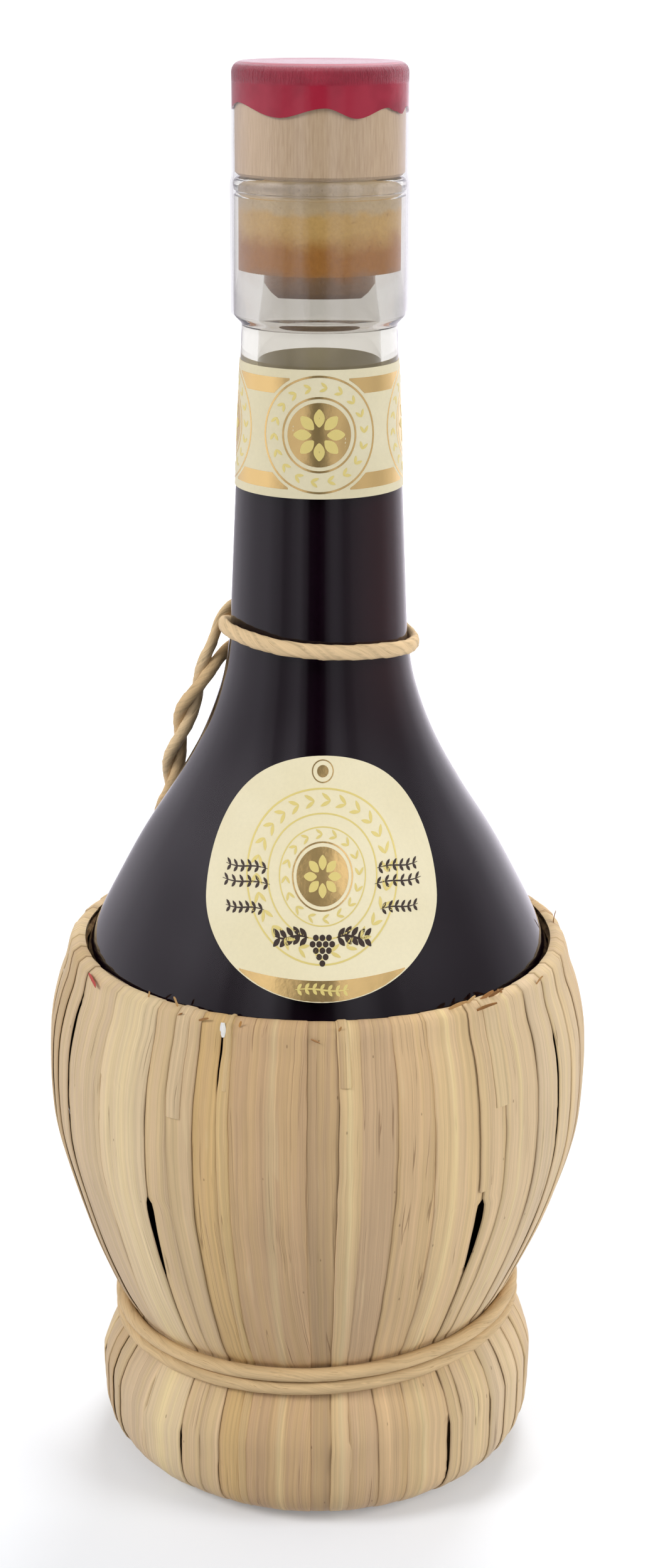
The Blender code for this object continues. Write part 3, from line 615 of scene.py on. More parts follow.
def cork_look():
    """Cork, pale at the top and stained amber and brown towards its wet end."""
    look = Look("cork", roughness=0.75, specular=0.2)
    place = look.place()
    wobble = look.ramp(look.noise(place, 260.0, 3.0), 0.2, 0.8, -CORK_WOBBLE, CORK_WOBBLE)
    level = look.sums("ADD", look.parts(place)[2], wobble)
    body = CORK_END_TONE
    for low, high, tone in CORK_TONES:
        body = look.mix(look.ramp(level, low * MM, high * MM), body, tone)
    grain = look.noise(place, 1500.0, 4.0, 0.65)
    pits = look.ramp(look.noise(place, 900.0, 3.0, 0.6), 0.62, 0.72, 0.0, 0.35)
    body = look.brightness(body, look.ramp(grain, 0.25, 0.75, 0.92, 1.06))
    look.set("Base Color", look.mix(pits, body, (128, 90, 52)))
    look.bump(grain, CORK_RELIEF, 0.6)
    return look.material


def red_film_look():
    """Glossy printed film, puckered where it shrank round the edge of the head, with a painted sheen that
    makes its top paler.
    """
    look = Look("red_film", (140, 34, 54), 0.1)
    place = look.place()
    side, depth, level = look.parts(place)
    turn = look.product(look.sums("ARCTAN2", side, depth), 15.0)
    puckers = look.noise(look.wired("CombineXYZ", turn, 0.0, look.product(level, 160.0)), 2.6, 4.0, 0.65)
    at_edge = look.product(look.ramp(level, *PUCKERS_COME), look.ramp(level, *PUCKERS_GO))
    fine = look.product(look.noise(place, 320.0), 0.14)
    look.bump(look.sums("ADD", look.product(puckers, at_edge), fine), RED_FILM_RELIEF, 0.9)
    body = look.mix(look.ramp(look.noise(place, 180.0), 0.3, 0.7), (136, 27, 46), (154, 36, 55))
    # Painted sheen: the top of the cap is mixed towards a pale pink
    painted_sheen = look.product(look.ramp(level, *SHEEN_LEVELS), 0.4)
    look.set("Base Color", look.mix(painted_sheen, body, (206, 112, 122)))
    return look.material


def clear_film_look():
    """Thin clear film: what is behind shows straight through it, with a gloss that grows at its sides."""
    look = Look("clear_film")
    look.tree.nodes.remove(look.shader)
    gloss = look.node("BsdfGlossy")
    gloss.inputs["Roughness"].default_value = 0.06
    look.bump(look.upright(0.6, 240.0), CLEAR_FILM_RELIEF, 0.5, gloss)
    facing = look.sums("POWER", look.node("LayerWeight").outputs["Facing"], 4.0)
    share = look.sums("ADD", look.product(facing, 0.5), 0.04)
    look.show(look.wired("MixShader", share, look.wired("BsdfTransparent"), gloss.outputs[0]))
    return look.material


def paper_look(name, shade=1.0):
    """Coated cream paper with a faint fibre; a shade below 1 makes a darker copy, which is painted shade."""
    look = Look(name, roughness=0.42, specular=0.4)
    place = look.place()
    fibre = look.noise(place, 1500.0, 4.0, 0.7)
    clouds = look.noise(place, 60.0)
    body = look.mix(look.ramp(clouds, 0.3, 0.7), (226, 215, 179), (231, 221, 188))
    look.set("Base Color", look.brightness(body, look.ramp(fibre, 0.2, 0.8, 0.97 * shade, 1.02 * shade)))
    look.bump(fibre, PAPER_RELIEF, 0.4)
    return look.material


def foil_look(name, colour, metallic, roughness):
    """Hot stamped foil or ink with a slightly uneven surface."""
    look = Look(name, colour, roughness)
    look.set("Metallic", metallic)
    fine = look.product(look.noise(look.place(), 900.0, 3.0), 0.1)
    look.bump(look.sums("ADD", look.upright(0.3, 130.0, 1.0), fine), FOIL_RELIEF, 0.8)
    return look.material


# Camera, cords and lights


def add_camera():
    data = bpy.data.cameras.new("camera")
    data.lens = CAMERA_LENS
    data.shift_x = CAMERA_SHIFT
    data.clip_start = CAMERA_NEAREST
    camera = bpy.data.objects.new("camera", data)
    bpy.context.scene.collection.objects.link(camera)
    camera.location = CAMERA_PLACE
    tilt = Matrix.Rotation(math.radians(90) - CAMERA_PITCH, 4, "X")
    camera.rotation_euler = (tilt @ Matrix.Rotation(CAMERA_ROLL, 4, "Z")).to_euler()
    bpy.context.scene.camera = camera
    bpy.context.scene.view_settings.view_transform = "Standard"


def smooth_route(route, step, guides=0):
    """Points at about equal steps along a smooth curve through the route's own points.

    As many of its first and last points as there are guides only steer the curve's ends."""
    points = []
    for i in range(guides, len(route) - 1 - guides):
        start, end = route[i], route[i + 1]
        leave, arrive = step_over(route, i) / 2, step_over(route, i + 1) / 2
        count = max(1, round((end - start).length / step))
        points += [hermite(start, leave, end, arrive, k / count) for k in range(count)]
    return points + [route[-1 - guides]]


def twisted_side(pair, turns, phase):
    """One strand of a twisted pair, along the pair's middle line."""
    middle = smooth_route([Vector(p) * MM for p in pair[:-1]], CORD_STEP)
    strand = []
    for i, point in enumerate(middle):
        along = step_over(middle, i).normalized()
        outward = Vector((point.x, point.y, 0)).normalized()
        side = along.cross(outward).normalized()
        other = along.cross(side)
        angle = phase + FULL_TURN * turns * (i / (len(middle) - 1) - 1)
        strand.append(point + (side * math.cos(angle) + other * math.sin(angle)) * TWINE_SPACING / 2)
    foot = Vector(pair[-1]) * MM
    drop = strand[-1] - middle[-1]
    strand.append(Vector((foot.x, foot.y, CORD_END_LEVEL)) + Vector((drop.x, drop.y, 0)))
    return strand


def on_neck(point):
    """How far a point of the carrying cord belongs to the neck's ring, from 0 to 1."""
    return eased((point.z - NECK_RING_LEVEL) / NECK_RING_EASE)
# The neck label's paper is a darker copy of the shoulder label's: painted shade for the dimmer light on the
# neck


def pressed(point):
    """A point of the carrying cord, drawn in to the glass where it is tied round the neck."""
    radius = math.hypot(point.x, point.y)
    least = flask_radius(point.z) + TWINE_LEAST_STANDOFF
    drawn = max(radius - TWINE_PRESS * on_neck(point), min(least, radius))
    return Vector((point.x * drawn / radius, point.y * drawn / radius, point.z))


def cord_points(between, phase):
    """The route of one strand of the carrying cord, from rim to rim round the neck."""
    left = twisted_side(LEFT_PAIR_MM, LEFT_PAIR_TURNS, phase)
    right = twisted_side(RIGHT_PAIR_MM, RIGHT_PAIR_TURNS, phase)
    neck = [Vector(point) * MM for point in between]
    across = smooth_route([left[1], left[0]] + neck + [right[0], right[1]], CORD_STEP, guides=1)
    return [pressed(point) for point in left[::-1] + across[1:-1] + right]


def waist_cord_points(waist):
    """The route of the waist cord, which climbs to its second turn at the left."""
    radius = waist + WAIST_CORD_RADIUS
    step = FULL_TURN / WAIST_STEPS_PER_TURN
    low = WAIST_HEIGHT - WAIST_TURN_PITCH / 2
    points = []
    for i in range(round(WAIST_TURNS * WAIST_STEPS_PER_TURN) + 1):
        climb = eased((i * step - WAIST_CLIMB_START) / WAIST_CLIMB_SPAN)
        points.append(around(radius, WAIST_START_ANGLE + i * step, low + WAIST_TURN_PITCH * climb))
    first = (points[0] - points[1]).normalized() * WAIST_CORD_DIAMETER
    last = (points[-1] - points[-2]).normalized() * WAIST_CORD_DIAMETER
    return [points[0] + first] + points + [points[-1] + last]


def folded(share, depth):
    """Height and painted shade of twisted paper at a share of a turn: each fold steps up, then falls away,
    and the paper is painted darker just before the next fold.
    """
    height, shade = 0.0, 1.0
    for start, size in TWINE_FOLDS:
        past = (share - start) % 1.0
        height += depth * size * math.exp(-past / 0.16)
        # Painted shade: darker just before each fold, where the next fold steps up over the paper
        shade -= 0.4 * depth * size * math.exp(-((1.0 - past) / 0.045))
    return height, shade


def twine(node, route, diameter, material, tone, seed, lay_length, depth=1.0, flat=0.0):
    """A twine of folded paper along a route: its folds wind round it at the angle of its twist."""
    points = smooth_route(route, TWINE_STEP)
    rings, tones, lays = [], [], []
    side = None
    travel = 0.0
    for i, point in enumerate(points):
        along = step_over(points, i).normalized()
        if side is None:
            side = along.orthogonal().normalized()
        else:
            travel += (point - points[i - 1]).length
            side = (side - along * side.dot(along)).normalized()
        other = along.cross(side)
        outward = Vector((point.x, point.y, 0)).normalized()
        crushed = flat * on_neck(point)
        wander = 0.16 * noise.noise(Vector((seed, travel / WANDER_LENGTH, 3)))
        twist = travel / lay_length + wander
        swell = 1 + 0.05 * noise.noise(Vector((seed, travel / SWELL_LENGTH, 0)))
        ring = []
        for k in range(TWINE_SIDES):
            turn = k / TWINE_SIDES
            share = (turn - twist) % 1.0
            height, shade = folded(share, depth)
            way = side * math.cos(FULL_TURN * turn) + other * math.sin(FULL_TURN * turn)
            offset = way * diameter / 2 * swell * (1.0 - 0.14 * depth + 0.11 * height)
            outwards = outward * offset.dot(outward)
            offset += outwards * -crushed + Vector((0, 0, offset.z)) * crushed
            ring.append(point + offset)
            # The folds' painted shade darkens the twine's tone
            tones.append((*[c * shade for c in linear(tone)], 1.0))
            lays.append((abs(share - 0.5) * 2 * math.pi * diameter / MM, travel / MM, seed))
        rings.append(ring)
    piece = mesh_piece(node + "_twine", *skinned(rings), material, "bottle", (node,), "twine")
    paint(piece, "tone", "FLOAT_COLOR", tones)
    paint(piece, "lay", "FLOAT_VECTOR", lays)
    return piece


# Strands of the carrying cord: its name, its route between the twisted pairs, its side of them and its tone
STRANDS = (
    ("neck_cord_loop", NECK_LOOP_MM, math.pi, (222, 193, 150)),
    ("neck_cord_strand", NECK_PASS_MM, 0.0, (214, 182, 136)),
)


def carrying_cord(material):
    for seed, (name, between, phase, tone) in enumerate(STRANDS):
        route = cord_points(between, phase)
        piece = twine(
            name, route, TWINE_DIAMETER, material, tone, seed + 1.5, CARRYING_LAY, flat=TWINE_FLATTENED_SHARE,
        )


# Directions round the bottle, in degrees from the front, and how bright the studio is there in its gloss
STUDIO = (
    (-180, 0.80), (-160, 0.50), (-125, 0.72), (-114, 0.78), (-95, 0.76), (-72, 0.80), (-66, 0.72),
    (-59, 0.60), (-53, 0.53), (-46, 0.33), (-40, 0.37), (-34, 0.49), (-25, 0.59), (-17, 0.31),
    (-11, 0.04), (0, 0.01), (6, 0.05), (11, 0.27), (17, 0.46), (23, 0.49), (28, 0.41), (34, 0.28),
    (40, 0.31), (46, 0.43), (60, 0.47), (90, 0.40), (115, 0.58), (139, 0.90), (160, 1.10), (180, 0.80),
)
# How fast the studio's gloss brightens above this share of straight up
CEILING_START_SHARE = 0.25
CEILING_GAIN = 2.6
GLOSS_GAIN = 1.2
GLOSS_TINT = (1.0, 0.95, 1.05, 1.0)
WHITE = (1.0, 1.0, 1.0, 1.0)
# How bright the studio is for matt surfaces, and where it is seen through glass
STUDIO_LEVEL = 0.40
SEEN_THROUGH_LEVEL = 0.98
# Lamps: place, size across in metres and power in watts
LAMPS = {
    "key": ((-0.98, -0.50, 0.88), 0.5, 10.0),
    "fill": ((0.98, -0.42, 0.62), 0.6, 7.6),
    "back": ((0.2, 0.8, 0.9), 0.6, 10.0),
}
LAMP_AIM = (0, 0, 110 * MM)
FLOOR_COLOUR = (0.69, 0.71, 0.75, 1.0)
FLOOR_HALF = 60.0
# The floor's glow for the camera: it grows from one distance off the bottle, in metres, to another
FLOOR_GLOW_REACH = (0.12, 1.0)
FLOOR_GLOW = (0.2, 0.9)


def add_lamp(name, place, size, power):
    """A soft round lamp that shows neither in gloss nor through glass."""
    data = bpy.data.lights.new(name, "AREA")
    data.shape = "DISK"
    data.size = size
    data.energy = power
    lamp = bpy.data.objects.new(name, data)
    bpy.context.scene.collection.objects.link(lamp)
    lamp.location = place
    lamp.rotation_euler = (Vector(LAMP_AIM) - Vector(place)).to_track_quat("-Z", "Y").to_euler()
    lamp.visible_glossy = False
    lamp.visible_transmission = False
    lamp.visible_camera = False


def add_studio():
    """White surroundings for the camera, soft grey ones with a dark slot in front for gloss."""
    world = bpy.data.worlds.new("studio")
    bpy.context.scene.world = world
    world.use_nodes = True
    nodes = Nodes(world.node_tree)
    nodes.tree.nodes.clear()
    sums = nodes.sums

    def mixed(share, a, b):
        return sums("ADD", sums("MULTIPLY", sums("SUBTRACT", 1.0, share), a), sums("MULTIPLY", share, b))

    across, ahead, up = nodes.parts(nodes.node("TexCoord").outputs["Generated"])
    turn = sums("ARCTAN2", across, sums("MULTIPLY", ahead, -1.0))
    ramp = nodes.node("ValToRGB")
    ramp.color_ramp.interpolation = "EASE"
    elements = ramp.color_ramp.elements
    elements.remove(elements[1])
    elements[0].position = 0.0
    for index, (angle, level) in enumerate(STUDIO):
        stop = elements[0] if index == 0 else elements.new((angle + 180) / 360)
        stop.color = (level, level, level, 1.0)
    nodes.feed(ramp.inputs[0], sums("ADD", sums("DIVIDE", turn, FULL_TURN), 0.5))
    raised = sums("SMOOTH_MAX", sums("SUBTRACT", up, CEILING_START_SHARE), 0.0, 0.1)
    gloss = sums("MULTIPLY", ramp.outputs[0], sums("ADD", GLOSS_GAIN, sums("MULTIPLY", raised, CEILING_GAIN)))
    rays = nodes.node("LightPath").outputs
    level = mixed(rays["Is Glossy Ray"], STUDIO_LEVEL, gloss)
    level = mixed(rays["Is Camera Ray"], level, 1.0)
    level = mixed(rays["Is Transmission Ray"], level, SEEN_THROUGH_LEVEL)
    mirrored = sums("MAXIMUM", sums("SUBTRACT", rays["Is Glossy Ray"], rays["Is Transmission Ray"]), 0.0)
    tint = nodes.node("Mix", data_type="RGBA")
    for index, value in ((0, mirrored), (6, WHITE), (7, GLOSS_TINT)):
        nodes.feed(tint.inputs[index], value)
    background = nodes.wired("Background", tint.outputs[2], level)
    nodes.feed(nodes.node("OutputWorld").inputs["Surface"], background)
    for name, settings in LAMPS.items():
        add_lamp(name, *settings)


def add_floor():
    """Pale floor that is white for the camera, further off by its own glow, and keeps the soft shadow."""
    look = Look("floor")
    look.tree.nodes.remove(look.shader)
    rays = look.node("LightPath").outputs
    seen = look.sums("MAXIMUM", rays["Is Camera Ray"], rays["Is Transmission Ray"])
    off = look.node("VectorMath", operation="LENGTH")
    look.feed(off.inputs[0], look.place())
    glow = look.node("Emission")
    further = look.ramp(off.outputs["Value"], *FLOOR_GLOW_REACH, *FLOOR_GLOW)
    look.feed(glow.inputs["Strength"], look.product(seen, further))
    look.show(look.wired("AddShader", look.wired("BsdfDiffuse", FLOOR_COLOUR), glow.outputs[0]))
    corners = [(-FLOOR_HALF, -FLOOR_HALF, 0), (FLOOR_HALF, -FLOOR_HALF, 0)]
    corners += [(FLOOR_HALF, FLOOR_HALF, 0), (-FLOOR_HALF, FLOOR_HALF, 0)]
    mesh = bpy.data.meshes.new("floor")
    mesh.from_pydata(corners, [], [(0, 1, 2, 3)])
    mesh.materials.append(look.material)
    floor = bpy.data.objects.new("floor", mesh)
    bpy.context.scene.collection.objects.link(floor)
    floor.visible_glossy = False


# Flask, filling, stopper and capsule


def flask_outside():
    """The flask's outline from the mouth down the outside to the foot."""
    lip_foot = LIP_LEVEL - LIP_HEIGHT
    outside = rounded((BORE_RADIUS + BORE_ROUNDING, LIP_LEVEL - BORE_ROUNDING), BORE_ROUNDING, 5, 180, 90)
    outside += rounded((COLLAR_RADIUS - LIP_ROUNDING, LIP_LEVEL - LIP_ROUNDING), LIP_ROUNDING, 8, 90, 0)
    outside += rounded((COLLAR_RADIUS + 0.1 * LIP_GROOVE, lip_foot), LIP_GROOVE, 9, 110, 250)
    step_radius = flask_radius(COLLAR_LEVEL - COLLAR_STEP)
    depth = COLLAR_RADIUS - step_radius
    middle = COLLAR_LEVEL - COLLAR_STEP * 0.2
    for share in spread(0.0, 1.0, 11):
        level = blend(middle + COLLAR_STEP * 1.2, middle - COLLAR_STEP, share)
        outside.append((COLLAR_RADIUS - depth * eased(share), level))
    levels = spread(COLLAR_LEVEL - 2.2 * COLLAR_STEP, NECK_LEVEL, 12)[:-1]
    levels += spread(NECK_LEVEL, BELLY_LEVEL, 60) + spread(BELLY_LEVEL, FOOT_LEVEL, 26)[1:]
    return outside + [(flask_radius(level), level) for level in levels] + [(0.0, FOOT_LEVEL)]


def flask_inside():
    """The flask's inside from under the bore down to its floor."""
    levels = spread(NECK_LEVEL, BELLY_LEVEL, 44) + spread(BELLY_LEVEL, FOOT_LEVEL, 22)[1:]
    body = moved_out([(flask_radius(level), level) for level in levels], -GLASS_WALL)
    floor = FOOT_LEVEL + GLASS_WALL
    wall = [(radius, level) for radius, level in body if level > floor + CONTACT and radius > 0]
    neck_levels = spread(COLLAR_LEVEL - BORE_FLARE, NECK_LEVEL, 12)[:-1]
    neck = [(flask_radius(level) - GLASS_WALL, level) for level in neck_levels]
    return neck + wall + [(wall[-1][0] * FLOOR_EDGE_SHARE, floor), (0.0, floor)]


def flask_glass(material):
    bore = [(BORE_RADIUS, BORE_FOOT_LEVEL), (BORE_RADIUS, LIP_LEVEL - 2 * BORE_ROUNDING)]
    inside = flask_inside()
    radius, level = inside[0]
    flare = []
    for share in spread(0.0, 1.0, 9)[1:-1]:
        flare.append((blend(radius, BORE_RADIUS, eased(share)), blend(level, BORE_FOOT_LEVEL, share)))
    verts, faces = turned(flask_outside() + inside[::-1] + flare + bore, FLASK_SEGMENTS)
    mesh_piece("flask_glass", verts, faces, material, "bottle", ("glass_bottle",), "glass", sharp=50)


def condiment_fill(material):
    """The filling, a little larger than the room inside so that it wets the glass."""
    wall = [(r, z) for r, z in moved_out(flask_inside(), WETTING)[:-2] if z < FILL_LEVEL]
    top = flask_radius(FILL_LEVEL) - GLASS_WALL + WETTING
    surface = [(0.0, FILL_LEVEL), (top - 2 * FILL_CLIMB, FILL_LEVEL)]
    surface += [(top - FILL_CLIMB * 0.6, FILL_LEVEL + FILL_CLIMB * 0.3), (top, FILL_LEVEL + FILL_CLIMB)]
    floor = FOOT_LEVEL + GLASS_WALL - WETTING
    outline = surface + wall + [(wall[-1][0] * FLOOR_EDGE_SHARE, floor), (0.0, floor)]
    verts, faces = turned(outline, FLASK_SEGMENTS)
    mesh_piece("condiment_fill", verts, faces, material, "bottle", ("condiment",), "condiment", sharp=50)


def stopper(beech, cork):
    corner = (HEAD_RADIUS - HEAD_ROUNDING, HEAD_TOP - HEAD_ROUNDING)
    socket = SHANK_TOP + SOCKET_GAP
    head = [(0.0, HEAD_TOP)] + rounded(corner, HEAD_ROUNDING, 8, 90, 0)
    head += [(HEAD_RADIUS, HEAD_LEVEL + HEAD_CHAMFER), (HEAD_RADIUS - HEAD_CHAMFER, HEAD_LEVEL)]
    head += [(BORE_RADIUS, HEAD_LEVEL), (BORE_RADIUS, socket), (0.0, socket)]
    verts, faces = turned(head, STOPPER_SEGMENTS)
    mesh_piece("stopper_head_turned", verts, faces, beech, "stopper", ("stopper_head",), "beech", sharp=40)
    free, held = BORE_RADIUS - CONTACT, BORE_RADIUS + CONTACT
    shank = [(0.0, SHANK_TOP), (free, SHANK_TOP), (free, LIP_LEVEL), (held, LIP_LEVEL - SHANK_FREE_DEPTH)]
    shank += [(held, BORE_FOOT_LEVEL), (held, SHANK_BOTTOM + SHANK_BEVEL)]
    shank += [(held - 0.5 * SHANK_BEVEL, SHANK_BOTTOM + 0.4 * SHANK_BEVEL)]
    shank += [(held - SHANK_BEVEL, SHANK_BOTTOM), (0.0, SHANK_BOTTOM)]
    verts, faces = turned(shank, STOPPER_SEGMENTS)
    mesh_piece("stopper_shank_cork", verts, faces, cork, "stopper", ("stopper_shank",), "cork", sharp=40)


def red_edge(angle):
    """Height of the red cap's edge, at an angle about the axis."""
    degrees = math.degrees((angle - FRONT + math.pi) % FULL_TURN - math.pi)
    for (a0, z0), (a1, z1) in zip(RED_EDGE, RED_EDGE[1:]):
        if degrees <= a1:
            return blend(z0, z1, eased((degrees - a0) / (a1 - a0))) * MM
    return RED_EDGE[-1][1] * MM


def film_radius(level):
    """Outer radius of the capsule at a height, over the head, the lip and the collar."""
    at_head = HEAD_RADIUS + CAPSULE_FIT + CAPSULE_WALL
    at_collar = COLLAR_RADIUS + CAPSULE_FIT + CAPSULE_WALL
    return blend(at_collar, at_head, eased((level - LIP_LEVEL + FILM_STEP_BELOW_LIP) / FILM_STEP_HEIGHT))


def film_ring(radius_of, level_of):
    """A ring of the shrunk film, which stands a little off its even shape."""
    points = []
    for i in range(FILM_SEGMENTS):
        angle = FULL_TURN * i / FILM_SEGMENTS
        level = level_of(angle)
        place = Vector((
            math.cos(angle) * FILM_WAVES_ROUND, math.sin(angle) * FILM_WAVES_ROUND, level / FILM_WAVE_HEIGHT,
        ))
        points.append(around(radius_of(level) + FILM_WOBBLE * noise.noise(place), angle, level))
    return points


def red_cap(material):
    """The film's printed top: down its outside to the dripping edge, and back up its inside."""
    start = CAPSULE_TOP - CAPSULE_ROUNDING
    corner = (HEAD_RADIUS + CAPSULE_FIT + CAPSULE_WALL - CAPSULE_ROUNDING, start)
    rows = rounded(corner, CAPSULE_ROUNDING, 9, 90, 0)
    rows = [(rows[0][0] * share, CAPSULE_TOP - dip * MM) for share, dip in CAPSULE_DISH] + rows
    inward = CAPSULE_WALL * FILM_TOP_WALL_SHARE
    rings = [film_ring(lambda _, r=radius: r, lambda _, z=level: z) for radius, level in rows]
    for share in spread(0.0, 1.0, RED_ROWS)[1:]:
        rings.append(film_ring(film_radius, lambda a, s=share: blend(start, red_edge(a), s)))
    for share in spread(1.0, 0.0, RED_ROWS)[:-1]:
        rings.append(film_ring(
            lambda z: film_radius(z) - CAPSULE_WALL, lambda a, s=share: blend(start, red_edge(a), s),
        ))
    for radius, level in rows[::-1]:
        rings.append(film_ring(lambda _, r=radius: r - inward, lambda _, z=level: z - inward))
    verts, faces = skinned(rings)
    mesh_piece("capsule_red_film", verts, faces, material, "capsule", ("capsule_red",), "red_film", sharp=60)


def clear_sleeve(material):
    """The film's clear part, from the red cap's edge down over the collar."""
    rings = []
    for out, ends in ((0.0, (0.0, 1.0)), (-CAPSULE_WALL, (1.0, 0.0))):
        for share in spread(*ends, SLEEVE_ROWS):
            rings.append(film_ring(
                lambda z, o=out: film_radius(z) + o,
                lambda a, s=share: blend(red_edge(a) - CONTACT / 2, CAPSULE_BOTTOM, s),
            ))
    verts, faces = skinned(rings, closed=True)
    mesh_piece(
        "capsule_clear_film", verts, faces, material, "capsule", ("capsule_clear",), "clear_film", sharp=60,
    )


# Labels and the foil on them


def neck_place(across, up, out):
    """A point of the neck label: across from the front and up from its middle, in metres on the paper."""
    level = NECK_LABEL_MIDDLE + up
    turn = across / flask_radius(NECK_LABEL_MIDDLE)
    return around(flask_radius(level) + out, FRONT + turn, level)


def shoulder_place(across, up, out):
    """A point of the shoulder label, with up measured as height."""
    level = SHOULDER_MIDDLE + up
    radius = flask_radius(level)
    slope = (flask_radius(level + MM) - flask_radius(level - MM)) / (2 * MM)
    lean = math.hypot(1.0, slope)
    turn = (across + SHOULDER_LABEL_SHIFT) / radius
    return around(radius + out / lean, FRONT + turn, level - out * slope / lean)


def shoulder_half_width(up):
    share = clamp(up / SHOULDER_UPPER if up > 0 else up / SHOULDER_LOWER, -1.0, 1.0)
    return SHOULDER_LABEL_HALF_WIDTH * math.sqrt(1 - share * share)


def sheet_of(rows, place, low, high, closed=False):
    """A thin solid sheet from rows of (across, up) points, between two distances off the glass."""
    rings = []
    for row in rows:
        rings.append([place(a, u, low) for a, u in row] + [place(a, u, high) for a, u in row[::-1]])
    return skinned(rings, closed)


def neck_label(material):
    """The neck label goes right round as one closed band, its ends meeting."""
    reach = math.pi * flask_radius(NECK_LABEL_MIDDLE)
    ups = [NECK_LABEL_HALF * share for share in (1.0, 0.5, 0.0, -0.5, -1.0)]
    rows = [[(across, up) for up in ups] for across in spread(-reach, reach, 121)[:-1]]
    verts, faces = sheet_of(rows, neck_place, -LABEL_SINK, LABEL_THICKNESS, closed=True)
    mesh_piece("neck_label_paper", verts, faces, material, "bottle", ("neck_label",), "label_paper", sharp=40)


def shoulder_label(material):
    rows = []
    for turn in spread(math.radians(88), math.radians(-88), 61):
        up = math.sin(turn) * (SHOULDER_UPPER if turn > 0 else SHOULDER_LOWER)
        half = shoulder_half_width(up)
        rows.append([(share * half, up) for share in spread(-1.0, 1.0, 25)])
    verts, faces = sheet_of(rows, shoulder_place, -LABEL_SINK, LABEL_THICKNESS)
    mesh_piece(
        "shoulder_label_paper", verts, faces, material, "bottle", ("shoulder_label",), "label_paper",
        sharp=40,
    )


def ring_shape(middle, outer, inner, parts=72):
    """A flat ring as rows of (across, up) points, each row from its inside to its outside."""
    rows = []
    for turn in spread(0.0, FULL_TURN, parts + 1):
        way = (math.cos(turn), math.sin(turn))
        rows.append([(middle[0] + way[0] * r, middle[1] + way[1] * r) for r in (inner, outer)])
    return rows


def disc_shape(middle, radius, parts=48):
    rows = []
    for turn in spread(math.radians(86), math.radians(-86), parts // 2):
        half = radius * math.cos(turn)
        up = middle[1] + radius * math.sin(turn)
        rows.append([(middle[0] + half * s, up) for s in spread(-1.0, 1.0, 7)])
    return rows


def leaf_shape(foot, tip, width):
    """A pointed leaf from foot to tip."""
    foot, tip = Vector(foot), Vector(tip)
    along = tip - foot
    side = Vector((-along.y, along.x)).normalized()
    rows = []
    for share in spread(0.03, 0.97, 9):
        half = side * width / 2 * math.sin(math.pi * share) ** 0.8
        middle = foot + along * share
        rows.append([tuple(middle - half), tuple(middle + half)])
    return rows


def stem_shape(points, width):
    """A thin line along (across, up) points, thinner at both ends."""
    points = [Vector(point) for point in points]
    rows = []
    for i, point in enumerate(points):
        along = step_over(points, i)
        swell = 0.35 + 0.65 * math.sin(math.pi * i / (len(points) - 1))
        side = Vector((-along.y, along.x)).normalized() * width / 2 * swell
        rows.append([tuple(point - side), tuple(point + side)])
    return rows


def printed(name, shapes, place, material, rise=FOIL_RISE):
    """Foil or ink shapes laid on a label as one thin piece."""
    low, high = LABEL_THICKNESS - FOIL_RISE / 2, LABEL_THICKNESS + rise
    verts, faces = joined(sheet_of(rows, place, low, high) for rows in shapes)
    mesh_piece(name, verts, faces, material, "bottle", (), "label_paper", sharp=40)


def wreath(middle, radius, leaves, length, width):
    """Pairs of small leaves round a ring."""
    shapes = []
    for i in range(leaves):
        turn = FULL_TURN * i / leaves
        foot = Vector((math.cos(turn), math.sin(turn))) * radius
        for side in (-1, 1):
            way = turn + math.pi / 2 + side * math.radians(32)
            tip = foot + Vector((math.cos(way), math.sin(way))) * length
            shapes.append(leaf_shape(Vector(middle) + foot, Vector(middle) + tip, width))
    return shapes


def rosette(middle, radius, petals):
    shapes = []
    for i in range(petals):
        turn = FULL_TURN * i / petals
        way = Vector((math.cos(turn), math.sin(turn)))
        foot = Vector(middle) + way * radius * 0.28
        shapes.append(leaf_shape(foot, Vector(middle) + way * radius, radius * 0.42))
    return shapes


def sprig(start, end, up, pairs, length, width):
    """A level stem with pairs of leaves along it."""
    points = []
    for share in spread(0, 1, 4 * pairs + 1):
        points.append((blend(start, end, share), up + length * 0.15 * math.sin(FULL_TURN * share)))
    shapes = [stem_shape(points, width * 0.5)]
    ahead = math.copysign(length * 0.62, end - start)
    for k in range(pairs):
        foot = Vector(points[4 * k + 1])
        for lean in (-1, 1):
            shapes.append(leaf_shape(foot, foot + Vector((ahead, lean * length * 0.75)), width))
    return shapes


# Print of the neck label: three medals with gold bands between them, which stop just short of its seam
NECK_PRINT_SPAN = math.radians(359.4)
NECK_PRINT_MARGIN = 0.5 * MM
NECK_BAND_OUTER_INSET = 1.5 * MM
NECK_BAND_INNER_INSET = 4.2 * MM
NECK_BAND_LEAST = 0.05 * MM
NECK_MEDALS = (-23.5 * MM, 0.0, 23.5 * MM)
NECK_MEDAL_RADIUS = NECK_LABEL_HALF - 0.9 * MM
# How far in from a medal's edge its rings run, and its disc, leaves and petals begin
NECK_RING_INSETS = ((0.0, 0.35 * MM), (3.6 * MM, 3.95 * MM))
NECK_DISC_INSET = 4.6 * MM
NECK_LEAF_INSET = 2.05 * MM
NECK_LEAF = (1.5 * MM, 0.55 * MM)
NECK_PETAL_INSET = 5.6 * MM


